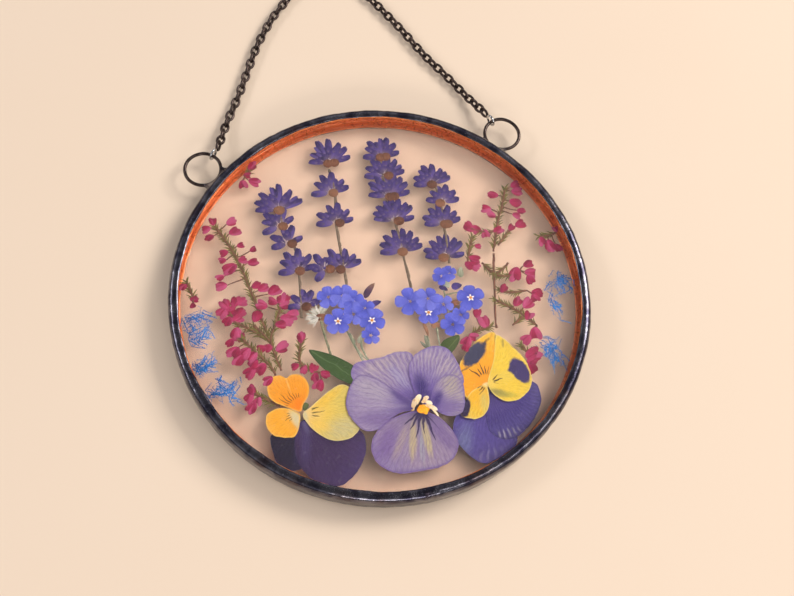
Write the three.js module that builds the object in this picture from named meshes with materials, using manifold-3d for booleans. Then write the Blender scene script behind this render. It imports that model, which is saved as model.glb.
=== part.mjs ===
// A pressed flower suncatcher, lying front up: two round glass panes with dried flowers between them,
// copper foil and blackened solder around the edge, two soldered wire rings and a hanging chain.
// Millimetres, +Z up, +Y towards the rings. The origin is the middle of the disc, where it rests.

import * as THREE from 'three';
import { mergeVertices } from 'three/addons/utils/BufferGeometryUtils.js';
import Module from 'manifold-3d';

const wasm = await Module();
wasm.setup();

// Disc
const DISC_FACETS = 48;
const RIM_RADIUS = 51;
const RIM_HEIGHT = 7.2;
const RIM_CORNER = 1.7;
const RIM_LIP_RADIUS = 48.75;
const RIM_FLANGE_RADIUS = 48.5;
const RIM_FLANGE_THICKNESS = 0.45;
const RIM_WALL_RADIUS = 50.3;
const FOIL_RADIUS = 50.25;
const FOIL_WALL = 0.15;
const FOIL_FLANGE_RADIUS = 48.35;
const FOIL_THICKNESS = 0.1;
const GLASS_RADIUS = 50;
const GLASS_THICKNESS = 2.5;
const SEAM = 0.05;

// Rings and their solder joints
const RING_ANGLE = 43.8;
const RING_DISTANCE = 56.2;
const RING_RADIUS = 4.53;
const RING_WIRE = 0.42;
const RING_LEVEL = RIM_HEIGHT / 2;
const JOINT_HEIGHT = 2.2;
const JOINT_CLEARANCE = 0.15;
const JOINT_ROOT_RADIUS = 50.5;
const JOINT_ROOT_HALF_WIDTH = 5.4;
const JOINT_WAIST_RADIUS = 51.3;
const JOINT_WAIST_HALF_WIDTH = 4.4;
const JOINT_TIP_HALF_WIDTH = 3.4;
const JUMP_RADIUS = 1.35;
const JUMP_WIRE = 0.3;
const JUMP_OFFSET = 5;
const JUMP_BEARING = { left: 53, right: 114 };

// Chain, with the points of its route where it lies
const CHAIN_WIDTH = 2.6;
const CHAIN_SIDES = 8;
const CHAIN_STEPS = 24;
const CHAIN_LIES_AT = 1.35;
const CHAIN_ROUTE = [
  [-34.7, 46.1, 3.6], [-33.5, 49.1, 2.7], [-31.5, 54.4, 1.6], [-29.1, 59.2, CHAIN_LIES_AT],
  [-27.0, 63.5, CHAIN_LIES_AT], [-24.9, 68.2, CHAIN_LIES_AT], [-22.7, 73.2, CHAIN_LIES_AT],
  [-20.6, 77.6, CHAIN_LIES_AT], [-18.2, 81.7, CHAIN_LIES_AT], [-15.8, 85.4, CHAIN_LIES_AT],
  [-13.1, 88.8, CHAIN_LIES_AT], [-9.9, 92.3, CHAIN_LIES_AT], [-6.4, 95.9, CHAIN_LIES_AT],
  [-2.9, 99.3, CHAIN_LIES_AT], [1.4, 101.3, CHAIN_LIES_AT], [5.6, 98.9, CHAIN_LIES_AT],
  [8.5, 94.5, CHAIN_LIES_AT], [11.4, 90.1, CHAIN_LIES_AT], [14.2, 85.9, CHAIN_LIES_AT],
  [16.8, 81.5, CHAIN_LIES_AT], [19.5, 76.8, CHAIN_LIES_AT], [22.0, 71.9, CHAIN_LIES_AT],
  [24.7, 67.1, CHAIN_LIES_AT], [27.3, 63.2, CHAIN_LIES_AT], [29.9, 59.0, CHAIN_LIES_AT],
  [32.4, 54.5, 1.6], [34.7, 50.0, 2.7], [36.1, 46.9, 3.6],
];

// Dried flowers lie in thin layers between the panes, layer 0 at the back
const LAYER_BOTTOM = 3.17;
const LAYER_PITCH = 0.11;
const LAYER_THICKNESS = 0.08;
const PETAL_POINTS = 14;
const STEM_WIDTH = 0.9;
const FINE_STEM_WIDTH = 0.6;
const BELL_RADIUS = 1.1;
const BELL_ROOT = 0.6;
const WHORL_LOBES = 3;
const WHORL_SPREAD = 170;
const WHORL_NOTCH = 0.62;
const WHORL_FOOT = 1.4;
const ROSETTE_PETALS = 5;
const ROSETTE_NOTCH = 0.72;

const FINISHES = {
  glass: { color: 0xe9f0ee, roughness: 0.03, metalness: 0, transparent: true, opacity: 0.25 },
  copper: { color: 0xc8683a, roughness: 0.3, metalness: 1 },
  solder: { color: 0x3a3940, roughness: 0.35, metalness: 0.9 },
  silver: { color: 0xc9c8c6, roughness: 0.2, metalness: 1 },
  gunmetal: { color: 0x3b3634, roughness: 0.35, metalness: 0.9 },
  lilac: { color: 0x9a86b4, roughness: 0.8, metalness: 0 },
  throat: { color: 0xf5a81c, roughness: 0.8, metalness: 0 },
  orange: { color: 0xf9a11b, roughness: 0.8, metalness: 0 },
  yellow: { color: 0xe9cf55, roughness: 0.8, metalness: 0 },
  plum: { color: 0x47305f, roughness: 0.8, metalness: 0 },
  violet: { color: 0x554a9a, roughness: 0.8, metalness: 0 },
  leaf: { color: 0x47602f, roughness: 0.8, metalness: 0 },
  lavender: { color: 0x43318f, roughness: 0.8, metalness: 0 },
  forget: { color: 0x6c78e8, roughness: 0.8, metalness: 0 },
  calyx: { color: 0x9a9a86, roughness: 0.9, metalness: 0 },
  heather: { color: 0xc41f66, roughness: 0.8, metalness: 0 },
  lace: { color: 0x1d86d8, roughness: 0.8, metalness: 0 },
};

const part = new THREE.Group();

function place(name, finish, geometry) {
  const mesh = new THREE.Mesh(geometry, new THREE.MeshStandardMaterial(FINISHES[finish]));
  mesh.name = name;
  part.add(mesh);
  return mesh;
}

function toSolid(geometry) {
  const bare = geometry.index ? geometry.toNonIndexed() : geometry.clone();
  bare.deleteAttribute('normal');
  bare.deleteAttribute('uv');
  const merged = mergeVertices(bare, 1e-5);
  return new wasm.Manifold(new wasm.Mesh({
    numProp: 3,
    vertProperties: new Float32Array(merged.attributes.position.array),
    triVerts: new Uint32Array(merged.index.array),
  }));
}

function toGeometry(solid) {
  const mesh = solid.getMesh();
  const geometry = new THREE.BufferGeometry();
  geometry.setAttribute('position', new THREE.BufferAttribute(mesh.vertProperties, 3));
  geometry.setIndex(new THREE.BufferAttribute(mesh.triVerts, 1));
  geometry.computeVertexNormals();
  return geometry;
}

function join(geometries) {
  const [first, ...rest] = geometries.map(toSolid);
  return toGeometry(rest.reduce((sum, solid) => sum.add(solid), first));
}

// A ring turned around Z from a closed outline of [radius, height] points
function turned(outline) {
  const profile = [...outline, outline[0]].map(([r, z]) => new THREE.Vector2(r, z));
  return new THREE.LatheGeometry(profile, DISC_FACETS).rotateX(Math.PI / 2);
}

function pane(bottom) {
  const top = bottom + GLASS_THICKNESS;
  const outline = [[0, bottom], [GLASS_RADIUS, bottom], [GLASS_RADIUS, top], [0, top]];
  const profile = outline.map(([r, z]) => new THREE.Vector2(r, z));
  return new THREE.LatheGeometry(profile, DISC_FACETS).rotateX(Math.PI / 2);
}

// A channel section that wraps the edge of both panes
function foilSection() {
  const low = RIM_FLANGE_THICKNESS + SEAM;
  const high = RIM_HEIGHT - low;
  const wall = FOIL_RADIUS - FOIL_WALL;
  return [
    [FOIL_FLANGE_RADIUS, low], [FOIL_RADIUS, low], [FOIL_RADIUS, high], [FOIL_FLANGE_RADIUS, high],
    [FOIL_FLANGE_RADIUS, high - FOIL_THICKNESS], [wall, high - FOIL_THICKNESS],
    [wall, low + FOIL_THICKNESS], [FOIL_FLANGE_RADIUS, low + FOIL_THICKNESS],
  ];
}

// A channel section with round outer corners: the solder bead over the foil
function rimSection() {
  const corner = (level, from) => [0, 1, 2].map((i) => {
    const turn = from + (Math.PI / 4) * i;
    return [
      RIM_RADIUS - RIM_CORNER + RIM_CORNER * Math.cos(turn),
      level + RIM_CORNER * Math.sin(turn),
    ];
  });
  const low = RIM_FLANGE_THICKNESS;
  const high = RIM_HEIGHT - RIM_FLANGE_THICKNESS;
  return [
    [RIM_LIP_RADIUS, 0], ...corner(RIM_CORNER, -Math.PI / 2),
    ...corner(RIM_HEIGHT - RIM_CORNER, 0), [RIM_LIP_RADIUS, RIM_HEIGHT],
    [RIM_FLANGE_RADIUS, high], [RIM_WALL_RADIUS, high],
    [RIM_WALL_RADIUS, low], [RIM_FLANGE_RADIUS, low],
  ];
}

function extruded(points, bottom, height) {
  const shape = new THREE.Shape(points.map(([x, y]) => new THREE.Vector2(x, y)));
  return new THREE.ExtrudeGeometry(shape, { depth: height, bevelEnabled: false, steps: 1 })
    .translate(0, 0, bottom);
}

// A ring's bearing from the disc's centre, in radians from +X
function ringBearing(side) {
  return THREE.MathUtils.degToRad(90 + (side === 'left' ? RING_ANGLE : -RING_ANGLE));
}

function ringCentre(side) {
  const bearing = ringBearing(side);
  return [RING_DISTANCE * Math.cos(bearing), RING_DISTANCE * Math.sin(bearing)];
}

function ringGeometry(side, wire = RING_WIRE) {
  const [x, y] = ringCentre(side);
  return new THREE.TorusGeometry(RING_RADIUS, wire, 6, 20).translate(x, y, RING_LEVEL);
}

// The solder that fills the corners between a ring and the rim, before the ring's wire is cut out
function jointGeometry(side) {
  const across = [-1, -0.5, 0, 0.5, 1];
  const root = across.map((t) => t * JOINT_ROOT_HALF_WIDTH)
    .map((t) => [Math.sqrt(JOINT_ROOT_RADIUS ** 2 - t ** 2), t]);
  const tip = across.map((t) => -t * JOINT_TIP_HALF_WIDTH)
    .map((t) => [RING_DISTANCE - Math.sqrt(RING_RADIUS ** 2 - t ** 2), t]);
  const outline = [
    ...root, [JOINT_WAIST_RADIUS, JOINT_WAIST_HALF_WIDTH],
    ...tip, [JOINT_WAIST_RADIUS, -JOINT_WAIST_HALF_WIDTH],
  ];
  return extruded(outline, RING_LEVEL - JOINT_HEIGHT / 2, JOINT_HEIGHT).rotateZ(ringBearing(side));
}

function rimGeometry() {
  let rim = toSolid(turned(rimSection()));
  for (const side of ['left', 'right']) rim = rim.add(toSolid(jointGeometry(side)));
  for (const side of ['left', 'right']) {
    rim = rim.subtract(toSolid(ringGeometry(side, RING_WIRE + JOINT_CLEARANCE)));
  }
  return toGeometry(rim);
}

function jumpRing(side) {
  const [x, y] = ringCentre(side);
  const bearing = THREE.MathUtils.degToRad(JUMP_BEARING[side]);
  return new THREE.TorusGeometry(JUMP_RADIUS, JUMP_WIRE, 5, 12)
    .rotateX(Math.PI / 2)
    .rotateZ(bearing)
    .translate(x + JUMP_OFFSET * Math.cos(bearing), y + JUMP_OFFSET * Math.sin(bearing), RING_LEVEL);
}

function chainTube() {
  const stops = CHAIN_ROUTE.map((p) => new THREE.Vector3(...p));
  const route = new THREE.CatmullRomCurve3(stops, false, 'centripetal');
  const section = [];
  for (let i = 0; i < CHAIN_SIDES; i += 1) {
    const turn = ((i + 0.5) / CHAIN_SIDES) * 2 * Math.PI;
    section.push(new THREE.Vector2(Math.cos(turn), Math.sin(turn)).multiplyScalar(CHAIN_WIDTH / 2));
  }
  return new THREE.ExtrudeGeometry(new THREE.Shape(section), {
    steps: CHAIN_STEPS, bevelEnabled: false, extrudePath: route,
  });
}

function inLayer(points, layer) {
  return extruded(points, LAYER_BOTTOM + LAYER_PITCH * layer, LAYER_THICKNESS);
}

// A petal or leaf: a smooth closed outline through a few points
function petal(name, finish, layer, points) {
  const corners = points.map(([x, y]) => new THREE.Vector3(x, y, 0));
  const edge = new THREE.CatmullRomCurve3(corners, true, 'centripetal');
  const outline = edge.getSpacedPoints(PETAL_POINTS).slice(0, -1).map((p) => [p.x, p.y]);
  place(name, finish, inLayer(outline, layer));
}

// A flat stem of one width along a line of points
function stem(points, width) {
  const right = [];
  const left = [];
  points.forEach(([x, y], i) => {
    const [ax, ay] = points[Math.max(i - 1, 0)];
    const [bx, by] = points[Math.min(i + 1, points.length - 1)];
    const scale = width / 2 / Math.hypot(bx - ax, by - ay);
    right.push([x + (by - ay) * scale, y - (bx - ax) * scale]);
    left.unshift([x - (by - ay) * scale, y + (bx - ax) * scale]);
  });
  return [...right, ...left];
}

// Points around [x, y], each at a bearing in degrees and a distance
function around([x, y], polar) {
  return polar.map(([degrees, distance]) => {
    const turn = THREE.MathUtils.degToRad(degrees);
    return [x + distance * Math.cos(turn), y + distance * Math.sin(turn)];
  });
}

// A bell on its stalk: a kite that narrows to the nearest of the stems' points
function bell([x, y, size], spots) {
  const away = ([sx, sy]) => Math.hypot(sx - x, sy - y);
  const foot = spots.reduce((best, spot) => (away(spot) < away(best) ? spot : best));
  const lean = THREE.MathUtils.radToDeg(Math.atan2(y - foot[1], x - foot[0]));
  const reach = BELL_RADIUS * size;
  const root = around(foot, [[lean + 180, BELL_ROOT]]);
  return [...root, ...around([x, y], [[lean - 90, reach], [lean, reach], [lean + 90, reach]])];
}

// A whorl of lavender florets: a lobed fan that opens upwards from its base
function whorl([x, y, reach, lean]) {
  const polar = [[lean + 180, WHORL_FOOT]];
  for (let i = 0; i <= WHORL_LOBES * 2; i += 1) {
    const across = i / (WHORL_LOBES * 2) - 0.5;
    polar.push([lean + WHORL_SPREAD * across, i % 2 ? reach : reach * WHORL_NOTCH]);
  }
  return around([x, y], polar);
}

// A five-petalled flower seen from the front
function rosette([x, y, reach]) {
  const polar = [];
  for (let i = 0; i < ROSETTE_PETALS * 2; i += 1) {
    polar.push([(180 / ROSETTE_PETALS) * i, i % 2 ? reach : reach * ROSETTE_NOTCH]);
  }
  return around([x, y], polar);
}

// One grown piece: its stems, bells, whorls and flowers joined in one layer
function sprig(name, finish, layer, shapes) {
  const { stems = [], width = STEM_WIDTH, bells = [], whorls = [], flowers = [] } = shapes;
  const outlines = [
    ...stems.map((points) => stem(points, width)),
    ...bells.map((spot) => bell(spot, stems.flat())),
    ...whorls.map(whorl), ...flowers.map(rosette),
  ];
  place(name, finish, join(outlines.map((points) => inLayer(points, layer))));
}

function heather(name, layer, stems, bells) {
  sprig(`heather_${name}`, 'heather', layer, { stems, bells, width: FINE_STEM_WIDTH });
}

function lace(number, stems) {
  sprig(`blue_lace_${number}`, 'lace', 0, { stems });
}

function makeFrame() {
  const backPane = RIM_FLANGE_THICKNESS + FOIL_THICKNESS + 2 * SEAM;
  place('back_glass', 'glass', pane(backPane));
  place('front_glass', 'glass', pane(RIM_HEIGHT - backPane - GLASS_THICKNESS));
  place('copper_foil', 'copper', turned(foilSection()));
  place('solder_rim', 'solder', rimGeometry());
  for (const side of ['left', 'right']) {
    place(`${side}_hanging_ring`, 'gunmetal', ringGeometry(side));
    place(`${side}_jump_ring`, 'silver', jumpRing(side));
  }
  place('hanging_chain', 'gunmetal', chainTube());
}

function makePansy() {
  petal('pansy_upper_left_petal', 'lilac', 4, [
    [3.5, -27.5], [3, -21.5], [3.5, -19], [5.5, -16.5], [1, -15], [-4, -16], [-8, -16],
    [-10.5, -17.5], [-10, -21], [-6, -24], [-1, -27],
  ]);
  petal('pansy_upper_right_petal', 'lilac', 6, [
    [4.5, -28], [3, -22.5], [3.5, -18], [7, -15.5], [11, -15], [13.5, -16.5], [15, -21],
    [15.5, -24.5], [13, -27], [8, -28.5],
  ]);
  petal('pansy_left_petal', 'lilac', 7, [
    [2.5, -29.5], [-1, -30], [-4, -31.5], [-8, -33.5], [-11, -31.5], [-13, -27], [-12, -23],
    [-9, -19.5], [-5.5, -20.5], [-0.5, -25], [2.5, -27.5],
  ]);
  petal('pansy_right_petal', 'lilac', 7, [
    [7, -29], [8, -25], [11.5, -22.5], [14.5, -23.5], [15, -27.5], [13.5, -32], [10.5, -32.5],
    [8, -31],
  ]);
  petal('pansy_lip', 'lilac', 6, [
    [4.5, -30.5], [1.5, -30], [-3, -31], [-7.5, -34], [-9, -38], [-7, -42], [-3, -44], [2.5, -44],
    [7.5, -43.5], [11, -40.5], [10.5, -36], [7, -31.5],
  ]);
  petal('pansy_throat', 'throat', 7, [
    [3.5, -28.5], [4.5, -27.5], [6, -28.5], [6, -30], [4.5, -31], [3.5, -30],
  ]);
}

function makeLeftViola() {
  petal('left_viola_lip', 'orange', 5, [
    [-23.5, -26], [-26.5, -24.5], [-29.5, -22.5], [-30.5, -20], [-28.5, -16.5], [-26, -17],
    [-23, -17], [-21, -19], [-21, -22], [-22.5, -24],
  ]);
  petal('left_viola_left_petal', 'orange', 4, [
    [-24, -27], [-26, -25], [-29, -24.5], [-31.5, -26], [-31, -30], [-28, -31.5], [-25.5, -31.5],
  ]);
  petal('left_viola_right_petal', 'yellow', 4, [
    [-23, -27], [-20.5, -25], [-17, -22.5], [-13.5, -21], [-11.5, -21.5], [-11, -26], [-10.5, -32],
    [-13.5, -34], [-17, -34], [-21, -31],
  ]);
  petal('left_viola_large_upper_petal', 'plum', 1, [
    [-23.5, -28.5], [-25.5, -31.5], [-26, -36.5], [-24, -41], [-18.5, -44.5], [-13.5, -42.5],
    [-10, -37], [-10.5, -32.5], [-15.5, -30],
  ]);
  petal('left_viola_small_upper_petal', 'plum', 0, [
    [-31, -30.5], [-31, -34.5], [-30, -38], [-26.5, -39.5], [-24, -38], [-24, -30.5],
    [-27.5, -29.5],
  ]);
  petal('left_viola_sepal', 'leaf', 3, [[-22, -23.5], [-21, -24.5], [-22.5, -26], [-23, -24.5]]);
}

function makeRightViola() {
  petal('right_viola_lip', 'orange', 4, [
    [20.5, -27.5], [23.5, -22], [25.5, -16.5], [25, -13.5], [21.5, -14.5], [17.5, -17.5],
    [15, -21], [14.5, -26], [16, -29.5], [18.5, -29.5],
  ]);
  petal('right_viola_right_petal', 'yellow', 5, [
    [21, -26], [23.5, -20.5], [26, -14], [28, -17], [31, -21.5], [31.5, -27], [28.5, -30.5],
    [24.5, -31], [21.5, -28.5],
  ]);
  petal('right_viola_left_petal', 'yellow', 5, [
    [20, -26.5], [16.5, -27.5], [14.5, -30], [13, -32.5], [16.5, -34], [19, -33], [20.5, -30],
  ]);
  petal('right_viola_right_upper_petal', 'violet', 1, [
    [21, -28.5], [26, -27.5], [31.5, -26.5], [33, -29.5], [32, -33.5], [28, -38], [23, -40],
    [19, -37],
  ]);
  petal('right_viola_left_upper_petal', 'violet', 0, [
    [13, -31.5], [10.5, -36.5], [12.5, -41], [16, -44.5], [20.5, -43.5], [25.5, -40],
    [22.5, -34], [18.5, -31],
  ]);
}

function makeLeaves() {
  petal('large_leaf', 'leaf', 3, [
    [-19.5, -11.5], [-15, -13], [-10, -16.5], [-7.5, -19.5], [-9.5, -21.5], [-13, -20],
    [-17.5, -15.5],
  ]);
  petal('small_leaf', 'leaf', 0, [[11, -16], [13, -13.5], [16.5, -13], [16, -15], [13, -17.5]]);
}

function makeLavender() {
  sprig('lavender_spike_1', 'lavender', 0, {
    stems: [[[-21.5, 27], [-21, 21], [-19, 15], [-19, 8], [-20, -3]]],
    whorls: [
      [-21.5, 26.5, 6, 95], [-22, 22, 4.5, 110], [-20, 17, 4.5, 105], [-19, 9.5, 5.5, 95],
      [-20, 0, 4.5, 95],
    ],
  });
  sprig('lavender_spike_2', 'lavender', 0, {
    stems: [[[-7.5, 38], [-7, 29], [-8, 21], [-8, 8], [-8, -1]]],
    whorls: [[-7, 37.5, 6, 90], [-7, 29, 5.5, 92], [-8, 21, 5.5, 90], [-8, 8.5, 6, 92]],
  });
  sprig('lavender_spike_3', 'lavender', 0, {
    stems: [[[6, 39], [6.5, 30.5], [7, 21.5], [7, 12], [7.5, -2]]],
    whorls: [
      [6.5, 38.5, 5, 94], [6, 33, 5, 92], [6.5, 27, 5.5, 90], [7, 20, 6, 92], [7, 11.5, 6, 90],
    ],
  });
  sprig('lavender_spike_4', 'lavender', 0, {
    stems: [[[19, 30], [19, 22], [18.5, 14], [18, 6]]],
    whorls: [[19, 29.5, 5.5, 98], [19, 23.5, 5.5, 92], [18.5, 16.5, 5.5, 92], [18, 9, 5.5, 92]],
  });
}

function makeForgetMeNots() {
  sprig('forget_me_not_left', 'forget', 2, {
    flowers: [
      [-13, 1, 3], [-9.5, 0.5, 3], [-7, -1, 2.5], [-11.5, -5.5, 3.5], [-3.5, -6, 3.5],
      [-5, -9.5, 2.5], [-7.5, -5.5, 2.5], [-1.5, -1.5, 1.5],
    ],
    stems: [[[-9, -5.5], [-8.5, -13], [-7, -16]], [[-7, -8], [-6, -16.5]], [[-3, -4], [-1.5, -2]]],
  });
  sprig('forget_me_not_right', 'forget', 2, {
    flowers: [
      [15, 2.5, 3], [21.5, -3.5, 3.5], [6.5, -2.5, 4], [11, -2.5, 3], [10.5, -6, 3],
      [14.5, -4.5, 2.5], [15.5, -10, 3], [18, -8, 2.5],
    ],
    stems: [
      [[7, -4], [7.5, -13], [8, -15.5]], [[11.5, -7], [11.5, -15]], [[15.5, 1], [15.5, -10]],
      [[15, -2.5], [21, -3]],
    ],
  });
  sprig('fuzzy_calyx', 'calyx', 1, {
    flowers: [[-17, -2, 3]],
    stems: [[[-16, -3], [-15, -8.5], [-14.5, -14.5]]],
  });
}

function makeHeather() {
  heather('left_tip', 1, [
    [[-37.5, 24], [-36, 21], [-34, 16], [-32, 9], [-31, 5], [-28.5, -6.5]],
  ], [
    [-38, 25.5, 1.2], [-39.5, 22, 1.8], [-33.5, 23, 2], [-30, 16.5, 1.8], [-36.5, 16, 1.5],
    [-35.5, 12, 2], [-30, 13, 1.5], [-38, 9, 1.7], [-29, 6.5, 1.5], [-25.5, 5, 1.5],
  ]);
  heather('left_fork_1', 2, [[[-37, 2], [-36, -2], [-32, -4.5], [-29, -7.5]]], [
    [-37.5, 3, 1.6], [-34.5, 3, 1.8], [-38.5, 0, 1.5], [-34.5, -0.5, 1.5], [-36, -5.5, 1.8],
    [-37.5, -7, 1.2],
  ]);
  heather('left_fork_2', 4, [[[-35, -8], [-32, -10.5], [-29.5, -14.5], [-28.5, -16]]], [
    [-37, -9.5, 1.7], [-35.5, -11.5, 1.8], [-33, -12, 1.6], [-34, -15, 1.6], [-31.5, -15, 1.6],
  ]);
  heather('left_fork_3', 3, [
    [[-24.5, 0.5], [-26.5, -4], [-28, -7.5], [-27.5, -11.5], [-26.5, -15.5]],
    [[-31.5, -3], [-29.5, -6], [-28, -7.5]],
  ], [
    [-29, 1.5, 1.5], [-26, 2, 1.4], [-23, 2, 1.5], [-31.5, -1, 1.5], [-23, -3, 1.8],
    [-30.5, -9.5, 1.5], [-25, -10, 1.5],
  ]);
  heather('left_foot', 1, [[[-34, -20], [-32, -21], [-30, -22.5], [-28, -24]]], [
    [-34, -18.5, 1.4], [-35.5, -21, 1.4], [-34.5, -24, 1.5],
  ]);
  heather('left_twig', 4, [[[-21, -9], [-21.5, -12], [-22, -14.5], [-19.5, -16.5], [-17.5, -17.5]]], [
    [-21, -8, 1.3], [-23.5, -15, 1.2], [-19, -15, 1.3], [-19, -19, 1.4], [-16.5, -18, 1.2],
  ]);
  heather('loose_upper_left', 0, [[[-27, 39], [-28.5, 37], [-30, 35]]], [
    [-26.5, 39, 1.4], [-29.5, 34.5, 1.3], [-26.5, 35.5, 1.3],
  ]);
  heather('loose_left', 0, [[[-45.5, 9.5], [-45, 6.5], [-45, 4]]], [
    [-46.5, 8.5, 1.1], [-44.5, 5.5, 0.9],
  ]);
  heather('right_tip', 2, [
    [[36, 24], [34, 19], [32.5, 16], [30.5, 10.5], [29.5, 7.5]], [[24.5, 15], [28.5, 13], [31, 12]],
  ], [
    [38.5, 25, 1.5], [38.5, 20, 1.6], [39, 17.5, 1.1], [38, 14, 1.5], [35, 14, 1.2],
    [32.5, 22.5, 1.4], [30, 19, 1.3], [32.5, 12.5, 1.2], [26.5, 14, 1.3], [24.5, 14.5, 1.5],
  ]);
  heather('right_stem', 1, [[[29.5, 7], [28.5, 2.5], [27.5, -3.5], [26.5, -8.5], [26, -12.5]]], []);
  heather('right_fork_1', 2, [[[29, 2], [32, 1], [34.5, 1]], [[32, 1], [32.5, 4]]], [
    [34, 0.5, 1.8], [37.5, 3, 1.4], [37.5, 0.5, 1.2], [37, -1.5, 1.2],
  ]);
  heather('right_fork_2', 3, [
    [[27.5, -5.5], [30, -7.5], [32.5, -9.5], [36, -13.5]], [[30, -7.5], [31.5, -4], [35.5, -4.5]],
  ], [
    [32.5, -6.5, 1.4], [35, -7.5, 1.4], [38, -5, 1.6], [34.5, -10.5, 1.2], [35, -15.5, 1.6],
    [32.5, -16.5, 1.3], [29.5, -2.5, 1.3],
  ]);
  heather('right_fork_3', 1, [[[25, 12], [23.5, 8.5], [22.5, 5.5]]], [[26, 9.5, 0.9], [24, 4.5, 1.8]]);
  heather('right_foot', 3, [[[24.5, -12], [21.5, -12.5], [19, -13.5]]], [
    [23.5, -10.5, 1.4], [22, -8, 1.1], [18, -15, 1.5], [18, -17, 1.2],
  ]);
  heather('right_twig', 3, [[[31, -18], [32.5, -20.5], [32.5, -24]]], [
    [33.5, -20.5, 1.8], [33, -24.5, 1.5],
  ]);
  heather('loose_right', 0, [[[42, 10], [44.5, 10], [46.5, 10.5]]], [
    [42.5, 8, 1.2], [44, 7, 1.6], [46, 6.5, 1.2],
  ]);
}

function makeLace() {
  lace(1, [
    [[-43.5, 3.5], [-43.5, 1], [-42.5, -2.5], [-42, -5.5]], [[-47, 1], [-46.5, -4], [-44.5, -6]],
    [[-46.5, 1], [-43.5, 0.5]], [[-46, -4.5], [-43, -2]], [[-45, -5.5], [-42.5, -4.5]],
  ]);
  lace(2, [[[-47, -9.5], [-46, -11.5], [-43.5, -12], [-41, -10]], [[-46, -11.5], [-44.5, -13.5]]]);
  lace(3, [
    [[-44, -16.5], [-41.5, -18], [-39, -20], [-36.5, -20.5]],
    [[-41, -14.5], [-40.5, -17], [-39.5, -19.5]], [[-37, -16.5], [-38.5, -18], [-39.5, -19.5]],
    [[-44, -18.5], [-40.5, -18.5]],
  ]);
  lace(4, [
    [[43.5, -0.5], [42, -4.5], [41.5, -8], [42.5, -12.5], [43, -15]],
    [[45, -1], [45.5, -4.5], [42, -5.5]], [[43, -1.5], [46, -4]],
  ]);
  lace(5, [
    [[36, -17.5], [37.5, -19.5], [37, -22]], [[37.5, -19.5], [38.5, -19.5]],
    [[41, -18], [38.5, -19.5], [39.5, -22], [39.5, -24.5], [38, -26]],
  ]);
}

makeFrame();
makePansy();
makeLeftViola();
makeRightViola();
makeLeaves();
makeLavender();
makeForgetMeNots();
makeHeather();
makeLace();

export default part;
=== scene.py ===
"""Looks of a pressed flower suncatcher: glass panes, copper foil, blackened solder, dried flowers."""

import math

import bpy
from mathutils import Matrix, Vector, noise
from mathutils.geometry import delaunay_2d_cdt


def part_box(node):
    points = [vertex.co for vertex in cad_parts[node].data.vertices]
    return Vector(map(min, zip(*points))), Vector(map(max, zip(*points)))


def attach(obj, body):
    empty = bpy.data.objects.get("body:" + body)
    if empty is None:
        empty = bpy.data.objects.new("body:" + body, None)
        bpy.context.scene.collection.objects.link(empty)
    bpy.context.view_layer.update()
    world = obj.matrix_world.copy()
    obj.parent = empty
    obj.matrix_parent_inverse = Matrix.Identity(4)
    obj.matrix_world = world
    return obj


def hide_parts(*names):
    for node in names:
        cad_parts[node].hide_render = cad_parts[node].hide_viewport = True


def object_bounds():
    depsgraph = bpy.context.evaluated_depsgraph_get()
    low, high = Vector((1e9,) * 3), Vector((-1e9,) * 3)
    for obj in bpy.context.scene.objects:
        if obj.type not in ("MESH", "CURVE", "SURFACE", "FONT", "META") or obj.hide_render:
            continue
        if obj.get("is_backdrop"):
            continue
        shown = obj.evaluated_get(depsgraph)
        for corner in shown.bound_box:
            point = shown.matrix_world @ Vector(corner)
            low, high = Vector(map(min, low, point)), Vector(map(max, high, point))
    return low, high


bl_info = {
    "name": "Pressed Flower Suncatcher",
    "version": (1, 0, 0),
    "blender": (4, 5, 0),
    "location": "3D View > Sidebar > Suncatcher",
    "description": "Builds the looks of a pressed flower suncatcher on its packed frame",
    "category": "Object",
}

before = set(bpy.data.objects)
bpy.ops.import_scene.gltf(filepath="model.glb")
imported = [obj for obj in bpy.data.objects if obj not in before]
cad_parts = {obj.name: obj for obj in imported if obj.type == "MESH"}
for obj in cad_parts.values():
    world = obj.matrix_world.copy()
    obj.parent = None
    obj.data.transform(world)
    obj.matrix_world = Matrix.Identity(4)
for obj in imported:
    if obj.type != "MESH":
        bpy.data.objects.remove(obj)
FRAME_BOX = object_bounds()

# Shapes are written in millimetres, like the part's own source
MM = 0.001
PICTURE_WIDTH = 794

GLASS_RADIUS = 50.0
RING_CENTRES = {"left": (-38.9, 40.56), "right": (38.9, 40.56)}
RING_BEARINGS = {"left": 133.8, "right": 46.2}
RING_DISTANCE = 56.2
RING_RADIUS = 4.53
RING_LEVEL = 3.6
JUMP_BEARINGS = {"left": 53.0, "right": 114.0}
JUMP_OFFSET = 5.0
JUMP_RADIUS = 1.35

# Section of the solder bead from the front lip around the outside to the back lip
RIM_SECTION = [
    (48.62, 6.80), (48.52, 6.93), (48.60, 7.06), (48.85, 7.16), (49.20, 7.21), (49.60, 7.20),
    (49.98, 7.12), (50.32, 6.97), (50.60, 6.72), (50.80, 6.40), (50.93, 6.00), (51.00, 5.40),
    (51.02, 4.70), (51.02, 3.90), (51.02, 3.10), (51.00, 2.30), (50.97, 1.60), (50.85, 1.05),
    (50.62, 0.60), (50.30, 0.28), (49.90, 0.09), (49.40, 0.00), (49.10, 0.00), (48.45, 0.00),
    (48.20, 0.08), (48.12, 0.25),
]
RIM_INSIDE = [(48.16, 0.43), (50.30, 0.45), (50.30, 6.75)]

# The foil was laid a little off centre, so the flanges at the back are narrowest at this bearing
NARROWEST_BEARING = 200.0
FLANGE_NARROWING = 0.5

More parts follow.
